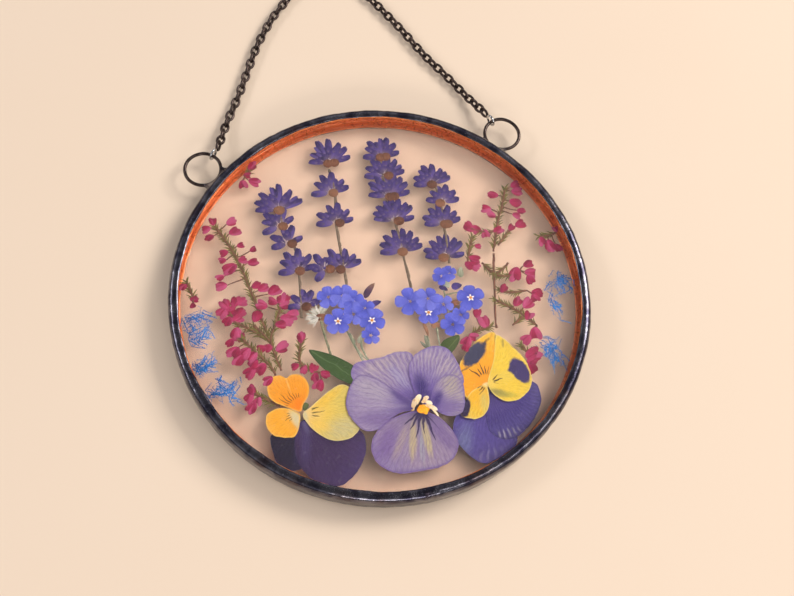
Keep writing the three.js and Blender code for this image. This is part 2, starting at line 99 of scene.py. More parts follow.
# Section of the copper foil that wraps the edge of both panes
FOIL_SECTION = [
    (48.00, 0.50), (49.00, 0.50), (49.60, 0.50), (50.20, 0.50), (50.25, 1.40), (50.25, 3.60),
    (50.25, 5.80), (50.20, 6.68), (49.30, 6.70), (48.45, 6.70), (48.45, 6.60), (49.30, 6.60),
    (49.95, 6.58), (50.10, 6.40), (50.10, 5.60), (50.10, 4.80), (50.10, 4.00), (50.10, 3.20),
    (50.10, 2.40), (50.10, 1.60), (50.10, 0.90), (49.95, 0.62), (49.50, 0.60), (49.25, 0.60),
    (49.00, 0.60), (48.35, 0.60), (48.02, 0.58),
]

CHAIN_ROUTE = [
    (-34.7, 46.1, 3.6), (-33.5, 49.1, 2.7), (-31.5, 54.4, 1.6), (-29.1, 59.2, 1.35),
    (-27.0, 63.5, 1.35), (-24.9, 68.2, 1.35), (-22.7, 73.2, 1.35), (-20.6, 77.6, 1.35),
    (-18.2, 81.7, 1.35), (-15.8, 85.4, 1.35), (-13.1, 88.8, 1.35), (-9.9, 92.3, 1.35),
    (-6.4, 95.9, 1.35), (-2.9, 99.3, 1.35), (1.4, 101.3, 1.35), (5.6, 98.9, 1.35),
    (8.5, 94.5, 1.35), (11.4, 90.1, 1.35), (14.2, 85.9, 1.35), (16.8, 81.5, 1.35),
    (19.5, 76.8, 1.35), (22.0, 71.9, 1.35), (24.7, 67.1, 1.35), (27.3, 63.2, 1.35),
    (29.9, 59.0, 1.35), (32.4, 54.5, 1.6), (34.7, 50.0, 2.7), (36.1, 46.9, 3.6),
]


# Sizes and colours that a user would change

def length(name, description, default):
    return bpy.props.FloatProperty(
        name=name, description=description, default=default, min=0.0, precision=5,
        unit="LENGTH", subtype="DISTANCE",
    )


def colour(name, description, code):
    return bpy.props.FloatVectorProperty(
        name=name, description=description, default=tint(code)[:3], size=3, min=0.0, max=1.0,
        subtype="COLOR",
    )


def tint(code):
    """A colour written as six hex digits, as linear values."""
    values = [int(code[i:i + 2], 16) / 255 for i in (0, 2, 4)]
    return tuple(v / 12.92 if v <= 0.04045 else ((v + 0.055) / 1.055) ** 2.4 for v in values) + (1.0,)


class SuncatcherSizes(bpy.types.PropertyGroup):
    """Sizes of the metalwork."""

    rim_lumps: length("Rim lumps", "Height of the soft lumps in the hand-run solder", 0.00013)
    lip_waver: length("Lip waver", "How far the solder's inner edge wanders on the glass", 0.00018)
    ring_wire: length("Ring wire", "Thickness of the hanging rings' wire", 0.00086)
    jump_wire: length("Jump ring wire", "Thickness of the bright jump rings' wire", 0.00062)
    link_pitch: length("Link pitch", "Distance from one chain link to the next", 0.0021)
    link_length: length("Link length", "Length of a chain link's centre line", 0.0027)
    link_width: length("Link width", "Width of a chain link's centre line", 0.0017)
    link_wire: length("Link wire", "Thickness of the chain's wire", 0.00070)


class SuncatcherColours(bpy.types.PropertyGroup):
    """Main colours of the metals and the floor."""

    floor: colour("Floor", "Plain pale floor", "F5DEC6")
    solder: colour("Solder", "Blackened solder", "75727A")
    copper: colour("Copper", "Copper foil seen through the glass", "F58A48")
    wire: colour("Dark wire", "Rings and chain", "5C4E4A")
    silver: colour("Bright wire", "Jump rings", "D8D7D6")


# Node helpers

def plug(tree, value, socket):
    if isinstance(value, bpy.types.NodeSocket):
        tree.links.new(value, socket)
    else:
        socket.default_value = value


def node(tree, kind, inputs=None, **settings):
    made = tree.nodes.new(kind)
    for key, value in settings.items():
        setattr(made, key, value)
    for key, value in (inputs or {}).items():
        plug(tree, value, made.inputs[key])
    return made


def calc(tree, operation, *values, clamp=False):
    inputs = dict(enumerate(values))
    return node(tree, "ShaderNodeMath", inputs, operation=operation, use_clamp=clamp).outputs[0]


def vector_calc(tree, operation, *values, output="Vector"):
    inputs = dict(enumerate(values))
    return node(tree, "ShaderNodeVectorMath", inputs, operation=operation).outputs[output]


def mixed(tree, factor, first, second, mode="MIX"):
    made = node(tree, "ShaderNodeMix", data_type="RGBA", blend_type=mode)
    plug(tree, factor, made.inputs[0])
    plug(tree, first, made.inputs[6])
    plug(tree, second, made.inputs[7])
    return made.outputs[2]


def ranged(tree, value, low, high, to_low=0.0, to_high=1.0, smooth=True):
    """A value from low to high turned into one from to_low to to_high."""
    inputs = {0: value, 1: low, 2: high, 3: to_low, 4: to_high}
    kind = "SMOOTHSTEP" if smooth else "LINEAR"
    return node(tree, "ShaderNodeMapRange", inputs, interpolation_type=kind).outputs[0]


def ramp(tree, value, stops, ease="LINEAR"):
    made = node(tree, "ShaderNodeValToRGB", {0: value})
    made.color_ramp.interpolation = ease
    elements = made.color_ramp.elements
    while len(elements) < len(stops):
        elements.new(0.5)
    for element, (place, shade) in zip(elements, stops):
        element.position = place
        element.color = shade
    return made.outputs[0]


def cloud(tree, where, scale, detail=3.0, rough=0.5, output="Fac", distortion=0.0):
    inputs = {"Vector": where, "Scale": scale, "Detail": detail, "Roughness": rough,
              "Distortion": distortion}
    return node(tree, "ShaderNodeTexNoise", inputs).outputs[output]


def new_group(name, inputs, outputs):
    """A shader node group with its sockets, and the outputs of its input node by name."""
    tree = bpy.data.node_groups.new(name, "ShaderNodeTree")
    kinds = {"value": "NodeSocketFloat", "vector": "NodeSocketVector", "colour": "NodeSocketColor"}
    for label, kind, *default in inputs:
        socket = tree.interface.new_socket(name=label, in_out="INPUT", socket_type=kinds[kind])
        if default:
            socket.default_value = default[0]
    for label, kind in outputs:
        tree.interface.new_socket(name=label, in_out="OUTPUT", socket_type=kinds[kind])
    entry = tree.nodes.new("NodeGroupInput")
    leave = tree.nodes.new("NodeGroupOutput")
    return tree, entry.outputs, leave.inputs


def group(tree, name, inputs=None, output=0):
    made = tree.nodes.new("ShaderNodeGroup")
    made.node_tree = GROUPS[name]()
    for key, value in (inputs or {}).items():
        plug(tree, value, made.inputs[key])
    return made.outputs[output]


def once(build):
    """Builds a node group the first time that it is asked for."""
    made = []

    def get():
        if not made:
            made.append(build())
        return made[0]

    return get


# Effects that several materials share

def place_group():
    """Where a point is, in millimetres."""
    tree, _, leave = new_group("place_in_mm", [], [("Place", "vector")])
    where = node(tree, "ShaderNodeTexCoord").outputs["Object"]
    scaled = node(tree, "ShaderNodeVectorMath", {0: where, "Scale": 1 / MM}, operation="SCALE")
    plug(tree, scaled.outputs["Vector"], leave["Place"])
    return tree


def polar_group():
    """Turn from a bearing and reach from a throat, in radians and millimetres."""
    tree, entry, leave = new_group(
        "petal_polar",
        [("Throat", "vector"), ("Bearing", "value", 0.0), ("Waver", "value", 0.0)],
        [("Turn", "value"), ("Reach", "value"), ("Place", "vector")],
    )
    place = vector_calc(tree, "MULTIPLY", group(tree, "place"), (1.0, 1.0, 0.0))
    offset = vector_calc(tree, "SUBTRACT", place, entry["Throat"])
    ripple = cloud(tree, place, 0.35, 2.0, 0.5, "Color")
    ripple = vector_calc(tree, "SUBTRACT", ripple, (0.5, 0.5, 0.5))
    ripple = node(tree, "ShaderNodeVectorMath", {0: ripple, "Scale": entry["Waver"]},
                  operation="SCALE").outputs["Vector"]
    offset = vector_calc(tree, "ADD", offset, ripple)
    turned = node(tree, "ShaderNodeVectorRotate",
                  {"Vector": offset, "Angle": calc(tree, "MULTIPLY", entry["Bearing"], -1.0)},
                  rotation_type="Z_AXIS").outputs[0]
    parts = node(tree, "ShaderNodeSeparateXYZ", {0: turned}).outputs
    plug(tree, calc(tree, "ARCTAN2", parts["Y"], parts["X"]), leave["Turn"])
    reach = calc(tree, "SQRT", calc(tree, "ADD", calc(tree, "MULTIPLY", parts["X"], parts["X"]),
                                    calc(tree, "MULTIPLY", parts["Y"], parts["Y"])))
    plug(tree, reach, leave["Reach"])
    plug(tree, place, leave["Place"])
    return tree


def veins_group():
    """Thin lines that fan out from the throat and fork once."""
    tree, entry, leave = new_group(
        "petal_veins",
        [("Turn", "value"), ("Reach", "value"), ("Count", "value", 20.0), ("Width", "value", 0.3),
         ("Fork", "value", 8.0), ("Fine", "value", 0.6)],
        [("Mask", "value")],
    )

    def fan(count, width):
        wave = calc(tree, "MULTIPLY", entry["Turn"], count)
        saw = calc(tree, "ABSOLUTE", calc(tree, "SUBTRACT", calc(tree, "FRACT", wave), 0.5))
        return ranged(tree, saw, 0.0, width, 1.0, 0.0)

    single = fan(entry["Count"], entry["Width"])
    double = fan(calc(tree, "MULTIPLY", entry["Count"], 2.0), entry["Width"])
    double = calc(tree, "MULTIPLY", double, entry["Fine"])
    far = calc(tree, "SUBTRACT", entry["Reach"], entry["Fork"])
    far = ranged(tree, far, 0.0, 4.0)
    far_double = calc(tree, "MULTIPLY", double, far)
    coordinates = node(tree, "ShaderNodeCombineXYZ",
                       {"X": calc(tree, "MULTIPLY", entry["Turn"], 6.0),
                        "Y": calc(tree, "MULTIPLY", entry["Reach"], 0.25)}).outputs[0]
    patchy = ranged(tree, cloud(tree, coordinates, 2.0, 2.0), 0.3, 0.65, 0.35, 1.0)
    lines = calc(tree, "MAXIMUM", single, far_double)
    plug(tree, calc(tree, "MULTIPLY", lines, patchy), leave["Mask"])
    return tree


def whiskers_group():
    """Tapered guide lines of uneven length that fan out from the throat."""
    tree, entry, leave = new_group(
        "petal_whiskers",
        [("Turn", "value"), ("Reach", "value"), ("Middle", "value", 0.0), ("Spread", "value", 0.5),
         ("Count", "value", 4.0), ("Start", "value", 1.0), ("End", "value", 5.0),
         ("Width", "value", 0.3)],
        [("Mask", "value")],
    )
    wave = calc(tree, "ADD", calc(tree, "MULTIPLY", entry["Turn"], entry["Count"]), 0.5)
    pick = node(tree, "ShaderNodeTexWhiteNoise", {"W": calc(tree, "FLOOR", wave)},
                noise_dimensions="1D").outputs["Value"]
    aside = calc(tree, "ABSOLUTE", calc(tree, "SUBTRACT", calc(tree, "FRACT", wave), 0.5))
    aside = calc(tree, "MULTIPLY", calc(tree, "DIVIDE", aside, entry["Count"]), entry["Reach"])
    uneven = calc(tree, "ADD", 0.74, calc(tree, "MULTIPLY", pick, 0.4))
    end = calc(tree, "MULTIPLY", entry["End"], uneven)
    share = ranged(tree, entry["Reach"], entry["Start"], end, 1.0, 0.0, smooth=False)
    half = calc(tree, "MULTIPLY", calc(tree, "MULTIPLY", entry["Width"], 0.5),
                calc(tree, "POWER", share, 0.5))
    line = ranged(tree, calc(tree, "DIVIDE", aside, calc(tree, "ADD", half, 0.0001)), 1.3, 0.6)
    off = calc(tree, "ABSOLUTE", calc(tree, "SUBTRACT", entry["Turn"], entry["Middle"]))
    span = ranged(tree, calc(tree, "DIVIDE", off, entry["Spread"]), 1.0, 0.9)
    begun = ranged(tree, calc(tree, "SUBTRACT", entry["Reach"], entry["Start"]), -0.3, 0.3)
    plug(tree, calc(tree, "MULTIPLY", calc(tree, "MULTIPLY", line, span), begun), leave["Mask"])
    return tree


def blot_group():
    """A ragged oval patch."""
    tree, entry, leave = new_group(
        "petal_blot",
        [("Place", "vector"), ("Centre", "vector"), ("Spin", "value", 0.0), ("Long", "value", 2.0),
         ("Short", "value", 1.0), ("Soft", "value", 0.3), ("Ragged", "value", 0.3)],
        [("Mask", "value")],
    )
    offset = vector_calc(tree, "SUBTRACT", entry["Place"], entry["Centre"])
    turned = node(tree, "ShaderNodeVectorRotate",
                  {"Vector": offset, "Angle": calc(tree, "MULTIPLY", entry["Spin"], -1.0)},
                  rotation_type="Z_AXIS").outputs[0]
    parts = node(tree, "ShaderNodeSeparateXYZ", {0: turned}).outputs
    x = calc(tree, "DIVIDE", parts["X"], entry["Long"])
    y = calc(tree, "DIVIDE", parts["Y"], entry["Short"])
    away = calc(tree, "SQRT", calc(tree, "ADD", calc(tree, "MULTIPLY", x, x),
                                   calc(tree, "MULTIPLY", y, y)))
    tatter = calc(tree, "SUBTRACT", cloud(tree, entry["Place"], 0.9, 5.0, 0.65), 0.5)
    away = calc(tree, "ADD", away, calc(tree, "MULTIPLY", tatter, calc(
        tree, "MULTIPLY", entry["Ragged"], 2.0)))
    low = calc(tree, "SUBTRACT", 1.0, entry["Soft"])
    high = calc(tree, "ADD", 1.0, entry["Soft"])
    inputs = {0: away, 1: low, 2: high, 3: 1.0, 4: 0.0}
    mask = node(tree, "ShaderNodeMapRange", inputs, interpolation_type="SMOOTHSTEP").outputs[0]
    plug(tree, mask, leave["Mask"])
    return tree


def fibre_group():
    """Fine fibres that run out from the throat, with a papery crumple under them."""
    tree, entry, leave = new_group(
        "petal_fibre",
        [("Turn", "value"), ("Reach", "value"), ("Place", "vector"), ("Density", "value", 40.0)],
        [("Fibre", "value"), ("Crumple", "value")],
    )
    spread = calc(tree, "MULTIPLY", entry["Turn"], entry["Density"])
    coordinates = node(tree, "ShaderNodeCombineXYZ",
                       {"X": spread, "Y": calc(tree, "MULTIPLY", entry["Reach"], 0.7)}).outputs[0]
    plug(tree, cloud(tree, coordinates, 1.0, 4.0, 0.6), leave["Fibre"])
    crumple = cloud(tree, entry["Place"], 0.8, 5.0, 0.6, distortion=0.6)
    plug(tree, crumple, leave["Crumple"])
    return tree


def tarnish_group():
    """Patches, specks and fine grain of blackened metal."""
    tree, entry, leave = new_group(
        "tarnish",
        [("Scale", "value", 1.0)],
        [("Patches", "value"), ("Specks", "value"), ("Grain", "value")],
    )
    place = group(tree, "place")
    place = node(tree, "ShaderNodeVectorMath", {0: place, "Scale": entry["Scale"]},
                 operation="SCALE").outputs["Vector"]
    patches = cloud(tree, place, 0.22, 6.0, 0.6, distortion=0.8)
    plug(tree, ranged(tree, patches, 0.38, 0.64), leave["Patches"])
    speck = node(tree, "ShaderNodeTexVoronoi", {"Vector": place, "Scale": 1.6}).outputs["Distance"]
    gate = ranged(tree, cloud(tree, place, 0.5, 3.0), 0.48, 0.62)
    plug(tree, calc(tree, "MULTIPLY", ranged(tree, speck, 0.10, 0.24, 1.0, 0.0), gate),
         leave["Specks"])
    plug(tree, cloud(tree, place, 3.5, 5.0, 0.65), leave["Grain"])
    return tree


GROUPS = {
    "place": once(place_group),
    "polar": once(polar_group),
    "veins": once(veins_group),
    "whiskers": once(whiskers_group),
    "blot": once(blot_group),
    "fibre": once(fibre_group),
    "tarnish": once(tarnish_group),
}


# Materials

# How much of a lamp's light passes each face of a pane
GLASS_SHADE = (0.84, 0.795, 0.78, 1.0)

# How much of their colour the petals keep, by their slot
PETAL_DEPTH = 0.84
PETAL_DEPTHS = {"plum": 0.62, "leaf": 0.62}


def new_material(name):
    material = bpy.data.materials.new(name)
    material.use_nodes = True
    tree = material.node_tree
    tree.nodes.clear()
    shader = node(tree, "ShaderNodeBsdfPrincipled")
    output = node(tree, "ShaderNodeOutputMaterial", {"Surface": shader.outputs[0]})
    return material, tree, shader, output


def bumped(tree, shader, height, strength, distance):
    inputs = {"Height": height, "Strength": strength, "Distance": distance * MM}
    bump = node(tree, "ShaderNodeBump", inputs)
    plug(tree, bump.outputs[0], shader.inputs["Normal"])


def radius_in(tree, place):
    parts = node(tree, "ShaderNodeSeparateXYZ", {0: place}).outputs
    return calc(tree, "SQRT", calc(tree, "ADD", calc(tree, "MULTIPLY", parts["X"], parts["X"]),
                                   calc(tree, "MULTIPLY", parts["Y"], parts["Y"])))


def glass_material(foil):
    """Clear glass that lets lamps shine through on to the flowers. The foil sticks to its edge."""
    material, tree, shader, output = new_material("clear_glass")
    shader.inputs["Base Color"].default_value = (0.985, 0.972, 0.965, 1.0)
    shader.inputs["Roughness"].default_value = 0.0
    shader.inputs["IOR"].default_value = 1.5
    shader.inputs["Metallic"].default_value = 0.0
    shader.inputs["Transmission Weight"].default_value = 1.0
    place = group(tree, "place")
    bumped(tree, shader, cloud(tree, place, 0.05, 1.0), 0.02, 0.05)
    clear = node(tree, "ShaderNodeBsdfTransparent", {"Color": GLASS_SHADE})
    shadow = node(tree, "ShaderNodeLightPath").outputs["Is Shadow Ray"]
    both = node(tree, "ShaderNodeMixShader",
                {0: shadow, 1: shader.outputs[0], 2: clear.outputs[0]})
    stuck = node(tree, "ShaderNodeBsdfPrincipled")
    copper_look(tree, stuck, foil)
    facing = node(tree, "ShaderNodeSeparateXYZ",
                  {0: node(tree, "ShaderNodeNewGeometry").outputs["Normal"]}).outputs["Z"]
    upright = calc(tree, "LESS_THAN", calc(tree, "ABSOLUTE", facing), 0.5)
    edge = calc(tree, "GREATER_THAN", radius_in(tree, place), GLASS_RADIUS - 0.3)
    edge = calc(tree, "MULTIPLY", edge, upright)
    whole = node(tree, "ShaderNodeMixShader", {0: edge, 1: both.outputs[0], 2: stuck.outputs[0]})
    plug(tree, whole.outputs[0], output.inputs["Surface"])
    return material


def solder_material(base):
    material, tree, shader, _ = new_material("blackened_solder")
    made = node(tree, "ShaderNodeGroup")
    made.node_tree = GROUPS["tarnish"]()
    made.inputs["Scale"].default_value = 1.0
    patches, specks, grain = made.outputs
    bright = tuple(min(1.0, v * 2.2) for v in base) + (1.0,)
    dark = tuple(v * f for v, f in zip(base, (0.26, 0.25, 0.34))) + (1.0,)
    shade = mixed(tree, patches, dark, tuple(base) + (1.0,))
    place = group(tree, "place")
    brown = ranged(tree, cloud(tree, place, 0.12, 4.0, 0.6), 0.52, 0.7, 0.0, 0.55)
    shade = mixed(tree, brown, shade, (*tint("5A4440")[:3], 1.0))
    shade = mixed(tree, specks, shade, bright)
    plug(tree, shade, shader.inputs["Base Color"])
    shader.inputs["Metallic"].default_value = 1.0
    plug(tree, ranged(tree, grain, 0.3, 0.7, 0.12, 0.30), shader.inputs["Roughness"])
    height = calc(tree, "ADD", calc(tree, "MULTIPLY", grain, 0.12),
                  cloud(tree, place, 0.45, 2.0, 0.45, distortion=0.5))
    bumped(tree, shader, height, 0.35, 0.16)
    return material


def copper_look(tree, shader, base):
    """Bright copper with pale and rusty streaks that run along the foil."""
    place = group(tree, "place")
    parts = node(tree, "ShaderNodeSeparateXYZ", {0: place}).outputs
    round_ = calc(tree, "MULTIPLY", calc(tree, "ARCTAN2", parts["Y"], parts["X"]), GLASS_RADIUS)
    across = calc(tree, "ADD", radius_in(tree, place), parts["Z"])
    lengthways = node(tree, "ShaderNodeCombineXYZ",
                      {"X": calc(tree, "MULTIPLY", round_, 0.16),
                       "Y": calc(tree, "MULTIPLY", across, 2.4)}).outputs[0]
    streaks = cloud(tree, lengthways, 1.0, 5.0, 0.62, distortion=0.4)
    crinkle = cloud(tree, place, 0.55, 4.0, 0.6, distortion=0.8)
    base = tuple(base) + (1.0,)
    shade = mixed(tree, ranged(tree, streaks, 0.30, 0.52), tint("C2481A"), base)
    shade = mixed(tree, ranged(tree, streaks, 0.56, 0.70, 0.0, 0.85), shade, tint("FFC8A0"))
    shade = mixed(tree, ranged(tree, crinkle, 0.58, 0.74, 0.0, 0.5), shade, tint("8A3210"))
    plug(tree, shade, shader.inputs["Base Color"])
    shader.inputs["Metallic"].default_value = 0.45
    plug(tree, ranged(tree, crinkle, 0.3, 0.7, 0.22, 0.42), shader.inputs["Roughness"])
    height = calc(tree, "ADD", calc(tree, "MULTIPLY", streaks, 0.6), crinkle)
    bumped(tree, shader, height, 0.6, 0.2)


def copper_material(base):
    material, tree, shader, _ = new_material("copper_foil")
    copper_look(tree, shader, base)
    return material


def wire_material(name, base, pale, low, high):
    material, tree, shader, _ = new_material(name)
    made = node(tree, "ShaderNodeGroup")
    made.node_tree = GROUPS["tarnish"]()
    made.inputs["Scale"].default_value = 2.2
    patches, specks, grain = made.outputs
    dark = tuple(v * 0.5 for v in base) + (1.0,)
    shade = mixed(tree, patches, dark, tuple(base) + (1.0,))
    shade = mixed(tree, calc(tree, "MULTIPLY", specks, 0.7), shade, pale)
    plug(tree, shade, shader.inputs["Base Color"])
    shader.inputs["Metallic"].default_value = 1.0
    plug(tree, ranged(tree, grain, 0.3, 0.7, low, high), shader.inputs["Roughness"])
    bumped(tree, shader, grain, 0.35, 0.06)
    return material


def floor_material(base):
    material, tree, shader, _ = new_material("pale_floor")
    place = group(tree, "place")
    soft = cloud(tree, place, 0.012, 3.0)
    near = tuple(base) + (1.0,)
    far = tuple(v * f for v, f in zip(base, (0.985, 0.965, 0.94))) + (1.0,)
    plug(tree, mixed(tree, soft, near, far), shader.inputs["Base Color"])
    plug(tree, ranged(tree, cloud(tree, place, 1.2, 4.0), 0.3, 0.7, 0.75, 0.9),
         shader.inputs["Roughness"])
    bumped(tree, shader, cloud(tree, place, 2.0, 4.0), 0.05, 0.05)
    return material


# Mesh helpers

class Shape:
    """Points in millimetres, faces with a finish, and shading values of one piece."""

    def __init__(self, *keys):
        self.points = []
        self.faces = []
        self.finishes = []
        self.values = {key: [] for key in keys}

    def add(self, points, faces, finish=0, **values):
        start = len(self.points)
        self.points.extend(points)
        self.faces.extend([[start + i for i in face] for face in faces])
        self.finishes.extend([finish] * len(faces))
        for key, held in self.values.items():
            held.extend(values.get(key) or [0.5] * len(points))

    def build(self, name, materials, slot):
        mesh = bpy.data.meshes.new(name)
        mesh.from_pydata([tuple(v * MM for v in p) for p in self.points], [], self.faces)
        mesh.validate()
        for material in materials:
            mesh.materials.append(material)
        if len(materials) > 1:
            mesh.polygons.foreach_set("material_index", self.finishes)
        for key, values in self.values.items():
            layer = mesh.attributes.new(key, "FLOAT", "POINT")
            layer.data.foreach_set("value", values)
        mesh.polygons.foreach_set("use_smooth", [True] * len(mesh.polygons))
        mesh.update()
        piece = bpy.data.objects.new(name, mesh)
        bpy.context.scene.collection.objects.link(piece)
        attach(piece, "root")
        return piece


def tube(centres, frames, radii, sides, closed):
    """Points and faces of a round bar along centres; frames holds two side directions for each."""
    points = []
    for centre, (first, second), radius in zip(centres, frames, radii):
        for i in range(sides):
            turn = 2 * math.pi * i / sides
            points.append(tuple(centre + (first * math.cos(turn) + second * math.sin(turn)) * radius))
    faces = []
    count = len(centres)
    for i in range(count if closed else count - 1):
        ahead = (i + 1) % count
        for j in range(sides):
            k = (j + 1) % sides
            faces.append([i * sides + j, i * sides + k, ahead * sides + k, ahead * sides + j])
    if not closed:
        faces.append(list(range(sides))[::-1])
        faces.append([(count - 1) * sides + j for j in range(sides)])
    return points, faces


def ring_tube(centre, first, second, radius, wire, steps, sides, waver=0.0, seed=0.0):
    """A wire ring in the plane of two directions."""
    axis = first.cross(second)
    centres, frames, radii = [], [], []
    for i in range(steps):
        turn = 2 * math.pi * i / steps
        out = first * math.cos(turn) + second * math.sin(turn)
        lump = noise.noise(Vector((math.cos(turn) * 1.5, math.sin(turn) * 1.5, seed)))
        centres.append(centre + out * (radius + waver * lump))
        frames.append((out, axis))
        radii.append(wire * (1 + 0.5 * waver * lump))
    return tube(centres, frames, radii, sides, True)


def swept(section, steps, shift):
    """A closed section of [radius, height] points turned around Z, each point moved by shift."""
    points = []
    for i in range(steps):
        turn = 2 * math.pi * i / steps
        for j, (radius, height) in enumerate(section):
            radius, height = shift(turn, j, radius, height)
            points.append((radius * math.cos(turn), radius * math.sin(turn), height))
    size = len(section)
    faces = []
    for i in range(steps):
        ahead = (i + 1) % steps
        for j in range(size):
            k = (j + 1) % size
            faces.append([i * size + j, ahead * size + j, ahead * size + k, i * size + k])
    return points, faces


# Stage

CAMERA_HEIGHT_ANGLE = 67.5
CAMERA_BEARING = 20.2
CAMERA_ROLL = 11.0
CAMERA_DISTANCE = 259.45
CAMERA_TARGET = (4.11, 0.36, 0.0)
CAMERA_FOCUS = 1050.0


def add_camera():
    height = math.radians(CAMERA_HEIGHT_ANGLE)
    bearing = math.radians(CAMERA_BEARING)
    roll = math.radians(CAMERA_ROLL)
    ahead = Vector((math.sin(bearing) * math.cos(height), math.cos(bearing) * math.cos(height),
                    -math.sin(height)))
    level = Vector((math.cos(bearing), -math.sin(bearing), 0.0))
    upright = level.cross(ahead)
    right = level * math.cos(roll) + upright * math.sin(roll)
    up = upright * math.cos(roll) - level * math.sin(roll)
    place = (Vector(CAMERA_TARGET) - ahead * CAMERA_DISTANCE) * MM
    lens = bpy.data.cameras.new("camera")
    lens.sensor_fit = "HORIZONTAL"
    lens.sensor_width = 36.0
    lens.lens = CAMERA_FOCUS * 36.0 / PICTURE_WIDTH
    lens.clip_start = 0.005
    lens.clip_end = 10.0
    camera = bpy.data.objects.new("camera", lens)
    camera.matrix_world = Matrix((
        (right.x, up.x, -ahead.x, place.x),
        (right.y, up.y, -ahead.y, place.y),
        (right.z, up.z, -ahead.z, place.z),
        (0, 0, 0, 1),
    ))
    bpy.context.scene.collection.objects.link(camera)
    bpy.context.scene.camera = camera


def add_lamp(name, place, size, power, shade=(1.0, 1.0, 1.0), roll=0.0):
    lamp = bpy.data.lights.new(name, "AREA")
    lamp.shape = "RECTANGLE"
    lamp.size, lamp.size_y = size
    lamp.energy = power
    lamp.color = shade
    holder = bpy.data.objects.new(name, lamp)
    holder.location = place
    aim = (-Vector(place)).to_track_quat("-Z", "Y").to_matrix()
    holder.rotation_euler = (aim @ Matrix.Rotation(math.radians(roll), 3, "Z")).to_euler()
    bpy.context.scene.collection.objects.link(holder)


def add_world():
    world = bpy.data.worlds.new("studio")
    world.use_nodes = True
    tree = world.node_tree
    tree.nodes.clear()
    where = node(tree, "ShaderNodeTexCoord").outputs["Generated"]
    height = node(tree, "ShaderNodeSeparateXYZ", {0: where}).outputs["Z"]
    shade = ramp(tree, ranged(tree, height, -1.0, 1.0, smooth=False), [
        (0.0, (0.45, 0.40, 0.36, 1.0)), (0.49, (0.30, 0.27, 0.27, 1.0)),
        (0.60, (0.12, 0.12, 0.15, 1.0)), (0.72, (0.55, 0.55, 0.60, 1.0)),
        (0.82, (0.95, 0.95, 1.0, 1.0)), (0.92, (0.42, 0.42, 0.44, 1.0)),
        (1.0, (0.30, 0.30, 0.31, 1.0)),
    ], "EASE")
    back = node(tree, "ShaderNodeBackground", {"Color": shade, "Strength": 0.62})
    node(tree, "ShaderNodeOutputWorld", {"Surface": back.outputs[0]})
    bpy.context.scene.world = world


class SUNCATCHER_OT_stage(bpy.types.Operator):
    """Add the camera, the pale floor and the soft studio light"""

    bl_idname = "suncatcher.stage"
    bl_label = "Stage"

    def execute(self, context):
        add_camera()
        size = 2.0
        floor = bpy.data.meshes.new("floor")
        corners = [(-size, -size, -0.00002), (size, -size, -0.00002), (size, size, -0.00002),
                   (-size, size, -0.00002)]
        floor.from_pydata(corners, [], [(0, 1, 2, 3)])
        floor.materials.append(floor_material(context.scene.suncatcher_colours.floor))
        piece = bpy.data.objects.new("floor", floor)
        context.scene.collection.objects.link(piece)
        piece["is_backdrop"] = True
        add_lamp("key_lamp", (0.72, 0.25, 0.65), (0.40, 0.40), 6.0, (1.0, 0.97, 0.93))
        add_lamp("strip_lamp", (0.45, -0.20, 0.72), (0.60, 0.10), 1.1, (1.0, 0.98, 0.96), -39.0)
        add_lamp("front_lamp", (-0.05, -0.66, 0.36), (0.40, 0.16), 1.6, (1.0, 0.97, 0.93))
        add_lamp("side_lamp", (-0.50, 0.22, 0.42), (0.30, 0.14), 0.8, (0.95, 0.96, 1.0))
        add_world()
        context.scene.view_settings.view_transform = "Standard"
        return {"FINISHED"}


# Chain

def spaced(route, step):
    """Points at equal steps along a smooth line through the route."""
    stops = [Vector(p) for p in route]
    line = []
    for i in range(len(stops) - 1):
        before = stops[max(i - 1, 0)]
        after = stops[min(i + 2, len(stops) - 1)]
        for k in range(20):
            t = k / 20
            a, b = stops[i], stops[i + 1]
            line.append(0.5 * ((2 * a) + (b - before) * t + (2 * before - 5 * a + 4 * b - after) * t ** 2
                               + (3 * a - before - 3 * b + after) * t ** 3))
    line.append(stops[-1])
    total = sum((b - a).length for a, b in zip(line, line[1:]))
    count = max(2, round(total / step))
    gap = total / count
    points = [line[0]]
    travelled = 0.0
    for a, b in zip(line, line[1:]):
        piece = (b - a).length
        while len(points) < count and travelled + piece >= gap * len(points):
            share = (gap * len(points) - travelled) / piece
            points.append(a.lerp(b, share))
        travelled += piece
    points.append(line[-1])
    return points, total


def link_ring(centre, ahead, side, half_length, half_width, wire):
    """One oval link in the plane of two directions."""
    axis = ahead.cross(side)
    centres, frames = [], []
    steps = 22
    for i in range(steps):
        turn = 2 * math.pi * i / steps
        bow = abs(math.cos(turn)) ** 0.85 * math.copysign(1, math.cos(turn))
        point = ahead * (half_length * bow) + side * (half_width * math.sin(turn))
        centres.append(centre + point)
        out = (ahead * math.cos(turn) / half_length + side * math.sin(turn) / half_width)
        frames.append((out.normalized(), axis))
    return tube(centres, frames, [wire] * steps, 8, True)


